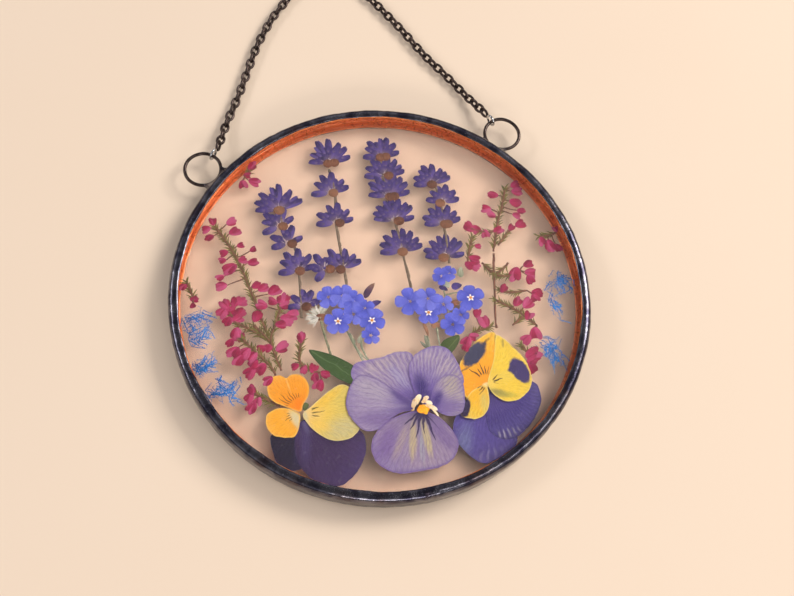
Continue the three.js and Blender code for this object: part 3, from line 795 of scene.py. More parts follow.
class SUNCATCHER_OT_chain(bpy.types.Operator):
    """Add the fine dark chain, link by link"""

    bl_idname = "suncatcher.chain"
    bl_label = "Chain"

    def execute(self, context):
        sizes = context.scene.suncatcher_sizes
        colours = context.scene.suncatcher_colours
        points, total = spaced(CHAIN_ROUTE, sizes.link_pitch / MM)
        shape = Shape()
        for i, (a, b) in enumerate(zip(points, points[1:])):
            ahead = (b - a).normalized()
            flat = Vector((-ahead.y, ahead.x, 0)).normalized()
            steep = ahead.cross(flat)
            sway = 22 * noise.noise(Vector((i * 1.7, 3.1, 0)))
            lean = math.radians((12 if i % 2 else 78) + sway)
            side = flat * math.cos(lean) + steep * math.sin(lean)
            centre = (a + b) / 2
            verts, faces = link_ring(centre, ahead, side, sizes.link_length / MM / 2,
                                     sizes.link_width / MM / 2, sizes.link_wire / MM / 2)
            shape.add(verts, faces)
        pale = (0.45, 0.42, 0.42, 1.0)
        chain = shape.build("chain_of_links", [wire_material("dark_wire", colours.wire, pale,
                                                             0.22, 0.42)], "gunmetal")
        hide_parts("hanging_chain")
        path = [tuple(v * MM for v in p) for p in spaced(CHAIN_ROUTE, 1.0)[0]]
        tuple(path[0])
        return {"FINISHED"}


# Glass, foil, solder and rings

class SUNCATCHER_OT_glass(bpy.types.Operator):
    """Give both panes their clear glass"""

    bl_idname = "suncatcher.glass"
    bl_label = "Glass panes"

    def execute(self, context):
        material = glass_material(context.scene.suncatcher_colours.copper)
        for name in ("back_glass", "front_glass"):
            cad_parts[name].material_slots[0].material = material
        return {"FINISHED"}


def narrowing(turn):
    """How far the back flanges' inner edges draw back at a bearing."""
    return FLANGE_NARROWING * max(0.0, math.cos(turn - math.radians(NARROWEST_BEARING)))


def foil_shift(turn, index, radius, height):
    spot = Vector((math.cos(turn) * 22, math.sin(turn) * 22, index * 0.35))
    ripple = noise.noise(spot)
    if index >= 10:
        if index >= 21:
            height += 0.05 * abs(ripple)
        else:
            radius -= 0.05 * abs(ripple)
    if radius < 48.4 and height < 1:
        wander = noise.noise(Vector((math.cos(turn) * 9, math.sin(turn) * 9, 7.0)))
        radius += narrowing(turn) + 0.10 * wander
    return radius, height


class SUNCATCHER_OT_foil(bpy.types.Operator):
    """Add the crinkled copper foil around the edge of the panes"""

    bl_idname = "suncatcher.foil"
    bl_label = "Copper foil"

    def execute(self, context):
        shape = Shape()
        shape.add(*swept(FOIL_SECTION, 720, foil_shift))
        material = copper_material(context.scene.suncatcher_colours.copper)
        foil = shape.build("crinkled_foil", [material], "copper")
        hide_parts("copper_foil")
        return {"FINISHED"}


def joint_web(side, shape):
    """The solder that fills the corners between a ring and the rim."""
    bearing = math.radians(RING_BEARINGS[side])
    outward = Vector((math.cos(bearing), math.sin(bearing), 0))
    across = Vector((-outward.y, outward.x, 0))
    steps, width = 14, 24
    heights = {}
    grid = {}
    for i in range(steps + 1):
        s = i / steps
        for j in range(width + 1):
            t = 2 * j / width - 1
            root = Vector((math.sqrt(50.4 ** 2 - (5.9 * t) ** 2), 5.9 * t, 0))
            swing = math.radians(54) * t
            tip = Vector((RING_DISTANCE - RING_RADIUS * math.cos(swing),
                          RING_RADIUS * math.sin(swing), 0))
            pull = 1 - 0.30 * math.sin(math.pi * s ** 0.8) * abs(t) ** 3
            point = root.lerp(tip, s)
            point.y *= pull
            lump = noise.noise(Vector((point.x * 0.5, point.y * 0.5, bearing)))
            body = 2.3 * (1 - s) ** 1.6 + 0.62 + 0.25 * math.sin(math.pi * s)
            heights[i, j] = body * math.sqrt(max(0.0, 1 - t ** 6)) * (1 + 0.12 * lump)
            grid[i, j] = outward * point.x + across * point.y
    points, faces = [], []
    for sign in (1, -1):
        start = len(points)
        for i in range(steps + 1):
            for j in range(width + 1):
                p = grid[i, j]
                points.append((p.x, p.y, RING_LEVEL + sign * heights[i, j]))
        for i in range(steps):
            for j in range(width):
                a = start + i * (width + 1) + j
                face = [a, a + 1, a + width + 2, a + width + 1]
                faces.append(face if sign < 0 else face[::-1])
    half = (steps + 1) * (width + 1)
    for j in range(width):
        for row, flip in ((0, False), (steps, True)):
            a = row * (width + 1) + j
            face = [a, a + 1, a + 1 + half, a + half]
            faces.append(face[::-1] if flip else face)
    shape.add(points, faces)


class SUNCATCHER_OT_rim(bpy.types.Operator):
    """Add the lumpy bead of blackened solder and its joints to the rings"""

    bl_idname = "suncatcher.rim"
    bl_label = "Solder rim"

    def execute(self, context):
        sizes = context.scene.suncatcher_sizes
        lumps = sizes.rim_lumps / MM
        waver = sizes.lip_waver / MM
        last = len(RIM_SECTION)

        def shift(turn, index, radius, height):
            if index == last:
                return radius + narrowing(turn), height
            if index > last:
                return radius, height
            x, y = math.cos(turn), math.sin(turn)
            before = RIM_SECTION[max(index - 1, 0)]
            after = RIM_SECTION[min(index + 1, last - 1)]
            out = Vector((-(after[1] - before[1]), after[0] - before[0])).normalized()
            broad = noise.noise(Vector((x * 7, y * 7, height * 0.25)))
            small = noise.noise(Vector((x * 24, y * 24, height * 0.5 + radius * 0.4)))
            tiny = noise.noise(Vector((x * 60, y * 60, height + radius)))
            push = lumps * (0.9 * broad + 0.55 * small + 0.22 * tiny)
            radius += out.x * push
            height += out.y * push
            if index < 4 or index > last - 4:
                radius += waver * noise.noise(Vector((x * 6, y * 6, 3.0 + height)))
            if index > last - 4:
                radius += narrowing(turn)
            return radius, max(0.0, height)

        shape = Shape()
        shape.add(*swept(RIM_SECTION + RIM_INSIDE, 900, shift))
        for side in ("left", "right"):
            joint_web(side, shape)
        rim = shape.build("solder_bead", [solder_material(context.scene.suncatcher_colours.solder)],
                          "solder")
        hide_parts("solder_rim")
        return {"FINISHED"}


class SUNCATCHER_OT_rings(bpy.types.Operator):
    """Add the wire hanging rings and the bright jump rings"""

    bl_idname = "suncatcher.rings"
    bl_label = "Rings"

    def execute(self, context):
        sizes = context.scene.suncatcher_sizes
        colours = context.scene.suncatcher_colours
        dark = wire_material("dark_ring_wire", colours.wire, (0.5, 0.47, 0.48, 1.0), 0.18, 0.38)
        bright = wire_material("bright_ring_wire", colours.silver, (1.0, 1.0, 1.0, 1.0), 0.08, 0.22)
        for side, (x, y) in RING_CENTRES.items():
            centre = Vector((x, y, RING_LEVEL))
            shape = Shape()
            shape.add(*ring_tube(centre, Vector((1, 0, 0)), Vector((0, 1, 0)), RING_RADIUS,
                                 sizes.ring_wire / MM / 2, 72, 14, 0.10, x))
            ring = shape.build(f"{side}_wire_ring", [dark], "gunmetal")
            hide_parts(f"{side}_hanging_ring")
            bearing = math.radians(JUMP_BEARINGS[side])
            outward = Vector((math.cos(bearing), math.sin(bearing), 0))
            shape = Shape()
            place = centre + outward * JUMP_OFFSET
            shape.add(*ring_tube(place, outward, Vector((0, 0, 1)), JUMP_RADIUS,
                                 sizes.jump_wire / MM / 2, 40, 10, 0.05, y))
            jump = shape.build(f"{side}_bright_ring", [bright], "silver")
            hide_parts(f"{side}_jump_ring")
        return {"FINISHED"}


# Petals and leaves

PANSY_THROAT = (4.5, -29.6)
LEFT_THROAT = (-23.4, -26.2)
RIGHT_THROAT = (20.9, -25.8)

# Markings of each petal. Colours are six hex digits. Stops are [reach from the throat,
# colour]; a blot is [x, y, spin, long, short, softness, raggedness, colour, strength]; whiskers are
# dark guide lines: colour, middle and half spread in degrees, lines per radian, start, end, width.
PETALS = {
    "pansy_upper_left_petal": {
        "slot": "lilac", "throat": PANSY_THROAT, "bearing": 125,
        "stops": [(2, "4B3A80"), (6, "7E6CA8"), (10, "A698B4"), (15, "B3A6B6"), (18, "9C8CB6")],
        "edge": ("8A76B4", 0.9, 0.55), "veins": ("6B529F", 11, 0.24, 8, 0.8, 0.75, 2, 18),
        "blots": [(0.2, -20.6, -60, 3.6, 1.2, 0.6, 0.3, "A9A4C6", 0.7),
                  (-3.0, -23.6, -40, 4.0, 0.7, 0.6, 0.4, "5C4690", 0.7),
                  (-3.4, -17.4, 0, 4.0, 1.4, 0.5, 0.3, "BDB0B4", 0.6)],
    },
    "pansy_upper_right_petal": {
        "slot": "lilac", "throat": PANSY_THROAT, "bearing": 67,
        "stops": [(2, "4A3888"), (5, "6F5CA4"), (9, "9384B0"), (13, "B4A8B8"), (16, "A093B8")],
        "edge": ("7C66AE", 0.8, 0.6), "veins": ("6A50A2", 13, 0.24, 7, 0.8, 0.8, 2, 18),
        "blots": [(5.3, -24.6, 96, 3.0, 1.5, 0.75, 0.2, "3B2E70", 0.95),
                  (13.3, -24.6, 80, 2.3, 1.3, 0.5, 0.4, "B5AC9C", 0.75),
                  (11.5, -20.5, 35, 2.5, 1.2, 0.6, 0.3, "BDB2B4", 0.6),
                  (9.0, -24.8, 10, 2.6, 0.7, 0.6, 0.4, "7A68A8", 0.6)],
    },
    "pansy_left_petal": {
        "slot": "lilac", "throat": PANSY_THROAT, "bearing": 168,
        "stops": [(2.5, "4C3B7C"), (6, "7F6EA4"), (10, "9D90B4"), (14, "A598B6"), (18, "9385AE")],
        "edge": ("76609E", 0.5, 0.8), "veins": ("725A9E", 12, 0.2, 8, 0.5, 0.42, 2, 18),
        "blots": [(-6.6, -23.4, -35, 4.6, 2.0, 0.7, 0.3, "B4ABBA", 0.75),
                  (-6.5, -30.6, -12, 5.2, 1.8, 0.7, 0.3, "806AA0", 0.75),
                  (-4.6, -27.6, -10, 4.5, 0.6, 0.6, 0.3, "AFA3BC", 0.5),
                  (-0.4, -26.0, -44, 2.4, 0.7, 0.6, 0.4, "523F86", 0.7)],
    },
    "pansy_right_petal": {
        "slot": "lilac", "throat": PANSY_THROAT, "bearing": 18,
        "stops": [(2.5, "4A3980"), (4, "6C599E"), (6.5, "9A8BAC"), (9, "ABA0A8"), (12, "9182AE")],
        "edge": ("7A68A6", 0.6, 0.65), "veins": ("715AA4", 12, 0.22, 7, 0.6, 0.6, 2, 14),
        "blots": [(12.4, -25.0, 60, 2.6, 1.5, 0.6, 0.4, "B4AA9E", 0.8),
                  (11.6, -30.4, 0, 3.0, 1.6, 0.6, 0.3, "7F6CA6", 0.75),
                  (8.4, -28.0, 60, 1.8, 0.8, 0.7, 0.4, "44347C", 0.85)],
    },
    "pansy_lip": {
        "slot": "lilac", "throat": PANSY_THROAT, "bearing": 248,
        "stops": [(1.5, "3F305F"), (4, "82729A"), (8, "9A8AA4"), (12, "A090AA"), (15, "9484AC")],
        "edge": ("755C9E", 0.7, 0.8), "veins": ("745A9E", 12, 0.2, 7, 0.6, 0.5, 4, 18),
        "whiskers": ("2F2350", 6, 45, 3.4, 1.2, 7.6, 0.8),
        "blots": [(-5.0, -36.5, 60, 4.4, 2.2, 0.7, 0.3, "7E65A2", 0.8),
                  (8.4, -37.0, -60, 4.4, 1.6, 0.7, 0.4, "7F69A0", 0.75),
                  (1.0, -36.6, 78, 4.6, 0.85, 0.5, 0.2, "C3B48C", 0.9),
                  (4.2, -36.4, 92, 4.6, 0.85, 0.5, 0.2, "C6B98C", 0.9),
                  (-1.8, -36.4, 58, 4.4, 0.8, 0.6, 0.3, "AC9C9A", 0.7),
                  (2.6, -39.2, 85, 4.2, 0.5, 0.6, 0.3, "A9AEB4", 0.6),
                  (3.2, -42.6, 0, 5.0, 0.7, 0.7, 0.3, "AD9DAE", 0.5)],
    },
    "left_viola_lip": {
        "slot": "orange", "throat": LEFT_THROAT, "bearing": 113,
        "notch": (-25.8, -16.4, 0.7, 1.3),
        "stops": [(0, "F08A10"), (2.5, "FB9312"), (5, "FBA41F"), (8, "FCAA2C"), (10, "FDB440")],
        "edge": ("FDC45A", 0.5, 0.8), "veins": ("F48F12", 10, 0.3, 5, 0.6, 0.35, 1, 12),
        "whiskers": ("6A4413", 3, 36, 7.0, 3.6, 6.2, 0.24),
        "blots": [(-23.7, -24.6, 100, 1.7, 0.8, 0.6, 0.3, "FF8A08", 0.9),
                  (-25.5, -19.2, 100, 1.6, 0.2, 0.8, 0.3, "FFC869", 0.8)],
    },
    "left_viola_left_petal": {
        "slot": "orange", "throat": LEFT_THROAT, "bearing": 198,
        "stops": [(0, "E6D6A0"), (2, "F2CE78"), (3.5, "FBB73C"), (6, "FDB52C"), (9, "FDBE48")],
        "edge": ("FDCD66", 0.5, 0.8), "veins": ("F4A01C", 9, 0.3, 5, 0.6, 0.35, 2, 12),
        "whiskers": ("6E4E1C", -5, 17, 6.0, 2.6, 4.4, 0.24),
        "blots": [(-24.7, -28.0, 110, 2.6, 0.9, 0.6, 0.3, "DDD3A8", 0.9),
                  (-24.2, -30.0, 90, 1.4, 0.35, 0.6, 0.3, "A9B3A8", 0.7)],
    },
    "left_viola_right_petal": {
        "slot": "yellow", "throat": LEFT_THROAT, "bearing": -6,
        "stops": [(0, "EED9A4"), (3, "F7D27A"), (6, "F0CF5C"), (9, "E2CC66"), (14, "D8C66C")],
        "edge": ("F2E2A0", 0.3, 0.7), "veins": ("E3C650", 9, 0.3, 6, 0.6, 0.25, 2, 14),
        "whiskers": ("54501F", -2, 26, 4.0, 2.4, 5.6, 0.34),
        "blots": [(-17.2, -23.9, 32, 4.2, 1.1, 0.7, 0.2, "F5CB4C", 0.8),
                  (-14.0, -31.6, 10, 4.6, 2.6, 0.8, 0.2, "C9C292", 0.8),
                  (-22.4, -27.8, 100, 1.6, 0.4, 0.6, 0.3, "C9CDB0", 0.6),
                  (-19.8, -29.6, 145, 2.6, 0.9, 0.7, 0.2, "F6CF5E", 0.7)],
    },
    "left_viola_large_upper_petal": {
        "slot": "plum", "throat": LEFT_THROAT, "bearing": 296,
        "stops": [(1, "4A3F78"), (5, "4A3466"), (10, "46305E"), (15, "4E376A"), (18, "57417A")],
        "edge": ("3E3468", 0.4, 0.6), "veins": ("5B447C", 12, 0.3, 7, 0.6, 0.3, 2, 19),
        "blots": [(-23.4, -33.5, 82, 5.5, 1.1, 0.7, 0.4, "5B4B86", 0.6),
                  (-22.9, -29.6, 100, 1.6, 0.5, 0.7, 0.4, "7A72A6", 0.6),
                  (-21.0, -40.0, 60, 3.0, 2.0, 0.7, 0.4, "563F72", 0.5)],
    },
    "left_viola_small_upper_petal": {
        "slot": "plum", "throat": LEFT_THROAT, "bearing": 240,
        "stops": [(1, "31254F"), (6, "2B2242"), (10, "281F3C"), (14, "33284E")],
        "edge": ("3A3360", 0.5, 0.5), "veins": ("3B2F58", 10, 0.3, 6, 0.6, 0.3, 2, 16),
        "blots": [(-25.6, -36.0, 75, 3.5, 0.9, 0.7, 0.4, "3F3266", 0.5)],
    },
    "left_viola_sepal": {
        "slot": "leaf", "throat": (-22.9, -26.0), "bearing": 60,
        "stops": [(0, "6E7A42"), (2, "74824C"), (4, "5F7040")],
        "edge": ("566438", 0.25, 0.6), "veins": ("8A9560", 8, 0.3, 2, 0.6, 0.4, 0, 4), "blots": [],
    },
    "right_viola_lip": {
        "slot": "orange", "throat": RIGHT_THROAT, "bearing": 100,
        "stops": [(0, "FCA628"), (3, "FDAE24"), (7, "FDB82C"), (10, "FAC23A"), (13, "F6CC50")],
        "edge": ("F7D468", 0.45, 0.8), "veins": ("F79E18", 10, 0.3, 5, 0.6, 0.4, 2, 14),
        "whiskers": ("1F1826", 5, 37, 3.8, 2.3, 5.2, 0.42),
        "blots": [(19.3, -18.3, 40, 3.8, 1.95, 0.16, 0.32, "41435F", 1.0),
                  (25.4, -15.0, 75, 1.9, 0.42, 0.4, 0.6, "3F4048", 0.95),
                  (20.6, -26.3, 0, 0.9, 0.6, 0.4, 0.3, "FFE9A4", 0.95),
                  (16.6, -21.6, 20, 1.6, 0.25, 0.5, 0.9, "3F4048", 0.7),
                  (22.3, -15.9, 40, 1.5, 0.35, 0.5, 1.0, "54503C", 0.8)],
    },
    "right_viola_right_petal": {
        "slot": "yellow", "throat": RIGHT_THROAT, "bearing": 5,
        "stops": [(0, "F6D868"), (3, "F3D24A"), (7, "F8D648"), (12, "F5D24C")],
        "edge": ("F3DE7C", 0.4, 0.8), "veins": ("E3C030", 10, 0.3, 5, 0.6, 0.35, 2, 14),
        "whiskers": ("1F1826", 3, 22, 2.9, 1.4, 4.0, 0.46),
        "blots": [(23.0, -28.6, -20, 2.2, 0.8, 0.6, 0.4, "8A8B58", 0.85),
                  (25.0, -29.4, -14, 2.2, 0.7, 0.6, 0.5, "B7B04E", 0.6),
                  (26.0, -24.8, 0, 2.4, 1.2, 0.7, 0.3, "E9D262", 0.5),
                  (29.2, -24.0, 112, 3.3, 2.0, 0.14, 0.26, "43366E", 1.0),
                  (27.5, -23.3, 20, 1.1, 0.8, 0.3, 0.4, "3E3268", 1.0),
                  (26.6, -16.6, 80, 1.2, 0.3, 0.5, 0.6, "6C6748", 0.6)],
    },
    "right_viola_left_petal": {
        "slot": "yellow", "throat": RIGHT_THROAT, "bearing": 225,
        "stops": [(0, "FCE488"), (2, "FBC436"), (5, "F9C232"), (8, "EFCB44"), (11, "E8CE60")],
        "edge": ("F3E08A", 0.4, 0.8), "veins": ("F0AE20", 9, 0.3, 4, 0.6, 0.4, 1, 12),
        "whiskers": ("2C2130", -10, 22, 4.0, 1.6, 3.8, 0.34),
        "blots": [(14.7, -31.0, 70, 2.3, 0.95, 0.2, 0.35, "33274C", 1.0),
                  (13.8, -32.4, 0, 1.1, 0.8, 0.3, 0.3, "33274C", 0.95),
                  (19.2, -30.6, 85, 2.6, 1.0, 0.7, 0.3, "DBCB6C", 0.8)],
    },
    "right_viola_right_upper_petal": {
        "slot": "violet", "throat": RIGHT_THROAT, "bearing": 298,
        "stops": [(2, "4B3D7C"), (6, "55468E"), (9, "4B3E88"), (12, "554A92"), (15, "4E4480")],
        "edge": ("3F376E", 0.5, 0.7), "veins": ("40356F", 13, 0.26, 6, 0.7, 0.6, 2, 16),
        "streaks": ("A9A6B4", 22.9, -38.4, 8, 3.2, 1.0, 0.75),
        "blots": [(31.6, -30.0, 80, 3.4, 1.0, 0.7, 0.3, "625A96", 0.6)],
    },
    "right_viola_left_upper_petal": {
        "slot": "violet", "throat": RIGHT_THROAT, "bearing": 246,
        "stops": [(4, "5C4B98"), (9, "584A98"), (14, "5A4D98"), (19, "625698")],
        "edge": ("57508E", 0.5, 0.6), "veins": ("4C4088", 13, 0.26, 7, 0.7, 0.45, 2, 22),
        "streaks": ("8C88B0", 16.5, -43.0, 15, 4.6, 1.1, 0.6),
        "blots": [(12.6, -39.0, 68, 4.2, 1.7, 0.8, 0.3, "7377A6", 0.9)],
    },
    "large_leaf": {
        "slot": "leaf", "throat": (-19.5, -11.2), "bearing": -42,
        "stops": [(0, "4C6B38"), (6, "4A6A34"), (12, "4C6C36"), (16, "53713C")],
        "edge": ("3F5C2E", 0.5, 0.7), "veins": ("5C7C44", 9, 0.3, 5, 0.6, 0.3, 0, 18),
        "whiskers": ("6E8A58", 0, 25, 1.0, 0.0, 15.0, 0.35),
        "blots": [(-12.0, -16.0, -42, 6.0, 1.0, 0.7, 0.4, "3F5E2C", 0.6)],
    },
    "small_leaf": {
        "slot": "leaf", "throat": (17.4, -12.6), "bearing": 220,
        "stops": [(0, "5F7340"), (4, "5A703A"), (7, "526834")],
        "edge": ("4A5E30", 0.4, 0.7), "veins": ("70864E", 9, 0.3, 3, 0.6, 0.35, 0, 9),
        "whiskers": ("7C9058", 0, 25, 1.0, 0.0, 6.5, 0.28), "blots": [],
    },
}


def smooth_outline(points, step):
    """A closed smooth line through the points, at equal steps."""
    stops = [Vector(p) for p in points]
    count = len(stops)
    line = []
    for i in range(count):
        before, a, b, after = (stops[(i + k) % count] for k in (-1, 0, 1, 2))
        for k in range(12):
            t = k / 12
            line.append(0.5 * (2 * a + (b - before) * t + (2 * before - 5 * a + 4 * b - after) * t ** 2
                               + (3 * a - before - 3 * b + after) * t ** 3))
    total = sum((line[i] - line[i - 1]).length for i in range(len(line)))
    steps = round(total / step)
    gap = total / steps
    even = []
    travelled = 0.0
    for i in range(len(line)):
        a, b = line[i], line[(i + 1) % len(line)]
        piece = (b - a).length
        while piece and len(even) < steps and travelled + piece > gap * len(even):
            even.append(a.lerp(b, (gap * len(even) - travelled) / piece))
        travelled += piece
    return even


def edge_distance(point, outline):
    best = 1e9
    for i in range(len(outline)):
        a, b = outline[i - 1], outline[i]
        along = b - a
        share = max(0.0, min(1.0, (point - a).dot(along) / max(along.length_squared, 1e-9)))
        best = min(best, (point - a - along * share).length)
    return best


def node_level(name):
    low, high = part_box(name)
    return (low[2] + high[2]) / 2 / MM


def node_outline(name):
    """The outline of a flat CAD piece in millimetres, from the free edges of its top face."""
    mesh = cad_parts[name].data
    spots = [(round(v.co.x * 1e5), round(v.co.y * 1e5)) for v in mesh.vertices]
    top = max(v.co.z for v in mesh.vertices)
    free = set()
    for face in mesh.polygons:
        if min(mesh.vertices[i].co.z for i in face.vertices) < top - 5e-6:
            continue
        corners = [spots[i] for i in face.vertices]
        for a, b in zip(corners, corners[1:] + corners[:1]):
            if (b, a) in free:
                free.remove((b, a))
            else:
                free.add((a, b))
    ahead = dict(free)
    spot = start = min(ahead)
    outline = []
    while not outline or spot != start:
        outline.append(Vector(spot) / 100)
        spot = ahead[spot]
    return outline


def petal_shape(name, look):
    """A thin closed sheet with a slightly wavering edge and soft folds out from the throat."""
    throat = Vector(look["throat"])
    level = node_level(name)
    corners = []
    for p in node_outline(name):
        away = p - throat
        corners.append(throat + away * min(1.0, 0.55 + away.length / 9))
    nx, ny, notch_width, notch_depth = look.get("notch", (0.0, 0.0, 1.0, 0.0))
    edge = []
    for p in smooth_outline(corners, 0.4):
        waver = noise.noise(Vector((p.x * 1.1, p.y * 1.1, level)))
        away = (p - throat).normalized()
        pull = notch_depth * math.exp(-((p - Vector((nx, ny))).length / notch_width) ** 2)
        edge.append(p + away * (0.14 * waver - pull))
    low_x, high_x = min(p.x for p in edge), max(p.x for p in edge)
    low_y, high_y = min(p.y for p in edge), max(p.y for p in edge)
    points = list(edge)
    gap = 0.62
    row = 0
    y = low_y
    while y < high_y:
        x = low_x + (gap / 2 if row % 2 else 0.0)
        while x < high_x:
            spot = Vector((x, y))
            if edge_distance(spot, edge) > 0.3:
                points.append(spot)
            x += gap
        y += gap * 0.87
        row += 1
    ring = [(i, (i + 1) % len(edge)) for i in range(len(edge))]
    flat, _, faces, *_ = delaunay_2d_cdt(points, ring, [], 1, 1e-5)
    count = len(flat)
    top, bottom, rims = [], [], []
    for p in flat:
        near = edge_distance(p, edge)
        turn = math.atan2(p.y - throat.y, p.x - throat.x)
        fold = noise.noise(Vector((math.cos(turn) * 7, math.sin(turn) * 7, p.length * 0.06)))
        ripple = noise.noise(Vector((p.x * 0.5, p.y * 0.5, level * 27)))
        middle = level + 0.020 * fold + 0.012 * ripple
        half = 0.022 * min(1.0, near / 0.35) ** 0.5
        top.append((p.x, p.y, middle + half))
        bottom.append((p.x, p.y, middle - half))
        rims.append(near)
    shape = Shape("edge")
    under = [[i + count for i in reversed(face)] for face in faces]
    shape.add(top + bottom, [list(face) for face in faces] + under, edge=rims + rims)
    return shape


CRISP_BLOT = 0.3
PETAL_WAVER = 1.3
FIBRE_DENSITY = 42.0


def petal_material(name, look):
    """Dried petal: colour by reach, soft blots, veins, an edge, crisp blots, fibres, guide lines."""
    material, tree, shader, _ = new_material(name)
    polar = node(tree, "ShaderNodeGroup")
    polar.node_tree = GROUPS["polar"]()
    polar.inputs["Throat"].default_value = (*look["throat"], 0.0)
    polar.inputs["Bearing"].default_value = math.radians(look["bearing"])
    polar.inputs["Waver"].default_value = PETAL_WAVER
    turn, reach, place = polar.outputs
    furthest = look["stops"][-1][0]
    stops = [(r / furthest, tint(c)) for r, c in look["stops"]]
    shade = ramp(tree, calc(tree, "DIVIDE", reach, furthest), stops)
    fibres = node(tree, "ShaderNodeGroup")
    fibres.node_tree = GROUPS["fibre"]()
    for key, value in (("Turn", turn), ("Reach", reach), ("Place", place)):
        plug(tree, value, fibres.inputs[key])
    fibres.inputs["Density"].default_value = FIBRE_DENSITY
    fibre, crumple = fibres.outputs

    def blotted(shade, crisp):
        for x, y, spin, long, short, soft, ragged, code, strength in look["blots"]:
            if (soft <= CRISP_BLOT) == crisp:
                mask = group(tree, "blot", {
                    "Place": place, "Centre": (x, y, 0), "Spin": math.radians(spin), "Long": long,
                    "Short": short, "Soft": soft, "Ragged": ragged})
                shade = mixed(tree, calc(tree, "MULTIPLY", mask, strength), shade, tint(code))
        return shade

    shade = blotted(shade, False)
    if "streaks" in look:
        code, x, y, spin, long, short, strength = look["streaks"]
        mask = group(tree, "blot", {
            "Place": place, "Centre": (x, y, 0), "Spin": math.radians(spin), "Long": long,
            "Short": short, "Soft": 0.5, "Ragged": 0.2})
        comb = calc(tree, "SINE", calc(tree, "MULTIPLY", turn, 62.0))
        comb = calc(tree, "MULTIPLY", ranged(tree, comb, -0.2, 0.9), mask)
        shade = mixed(tree, calc(tree, "MULTIPLY", comb, strength), shade, tint(code))
    code, count, width, fork, fine, strength, start, end = look["veins"]
    lines = group(tree, "veins", {"Turn": turn, "Reach": reach, "Count": float(count),
                                  "Width": width, "Fork": float(fork), "Fine": fine})
    lines = calc(tree, "MULTIPLY", lines, ranged(tree, reach, start, start + 1.5))
    shade = mixed(tree, calc(tree, "MULTIPLY", lines, strength), shade, tint(code))
    code, width, strength = look["edge"]
    rim = node(tree, "ShaderNodeAttribute", attribute_name="edge").outputs["Fac"]
    rim = ranged(tree, rim, 0.0, width, strength, 0.0)
    shade = mixed(tree, rim, shade, tint(code))
    shade = blotted(shade, True)
    dark = mixed(tree, 1.0, shade, (0.72, 0.70, 0.74, 1.0), "MULTIPLY")
    shade = mixed(tree, ranged(tree, fibre, 0.58, 0.38, 0.0, 0.55), shade, dark)
    light = mixed(tree, 0.12, shade, (1.0, 0.98, 0.95, 1.0))
    shade = mixed(tree, ranged(tree, crumple, 0.55, 0.75, 0.0, 0.6), shade, light)
    if "whiskers" in look:
        code, middle, spread, count, start, end, width = look["whiskers"]
        mask = group(tree, "whiskers", {
            "Turn": turn, "Reach": reach, "Middle": math.radians(middle),
            "Spread": math.radians(spread), "Count": count, "Start": start, "End": end,
            "Width": width})
        shade = mixed(tree, calc(tree, "MULTIPLY", mask, 0.92), shade, tint(code))
    depth = PETAL_DEPTHS.get(look["slot"], PETAL_DEPTH)
    shade = mixed(tree, 1.0, shade, (depth, depth, depth, 1.0), "MULTIPLY")
    plug(tree, shade, shader.inputs["Base Color"])
    plug(tree, ranged(tree, crumple, 0.3, 0.7, 0.55, 0.85), shader.inputs["Roughness"])
    shader.inputs["Specular IOR Level"].default_value = 0.25
    height = calc(tree, "ADD", calc(tree, "MULTIPLY", fibre, 0.8), crumple)
    height = calc(tree, "SUBTRACT", height, calc(tree, "MULTIPLY", lines, 0.35))
    bumped(tree, shader, height, 0.5, 0.09)
    return material


def add_petals(names):
    for name in names:
        look = PETALS[name]
        shape = petal_shape(name, look)
        piece = shape.build(f"{name}_dried", [petal_material(f"dried_{name}", look)], look["slot"])
        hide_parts(name)


# Small flowers

FORMS = {"oblong": (0.34, 0.30), "tear": (0.75, 0.34), "needle": (0.22, 0.75), "round": (0.5, 0.45),
         "scale": (0.45, 0.75)}


def lobe(shape, base, tip, width, level, finish=0, tone=0.5, rise=0.10, bend=0.0, form="tear",
         rows=7, half=2):
    """A small domed petal, bract or needle from base to tip."""
    dx, dy = tip[0] - base[0], tip[1] - base[1]
    size = math.hypot(dx, dy)
    if size < 1e-6:
        return
    ux, uy = dx / size, dy / size
    a, b = FORMS[form]
    peak = (a / (a + b)) ** a * (b / (a + b)) ** b
    top, low, along, across = [], [], [], []
    for i in range(rows + 1):
        s = 0.012 + 0.976 * i / rows
        wide = width / 2 * s ** a * (1 - s) ** b / peak
        sway = bend * size * math.sin(math.pi * s)
        for j in range(-half, half + 1):
            t = j / half
            x = base[0] + ux * s * size - uy * (wide * t + sway)
            y = base[1] + uy * s * size + ux * (wide * t + sway)
            lift = (1 - t * t) * math.sin(math.pi * s) ** 0.5
            crease = 1 - 0.35 * math.exp(-(t * 4) ** 2)
            top.append((x, y, level + rise * lift * crease))
            low.append((x, y, level - 0.018 * lift))
            along.append(s)
            across.append(t)
    columns = 2 * half + 1
    faces = []
    count = len(top)
    for i in range(rows):
        for j in range(columns - 1):
            k = i * columns + j
            faces.append([k, k + columns, k + columns + 1, k + 1][::-1])
            faces.append([count + k, count + k + columns, count + k + columns + 1, count + k + 1])
    shape.add(top + low, faces, finish, along=along + along, across=across + across,
              tone=[tone] * (2 * count))


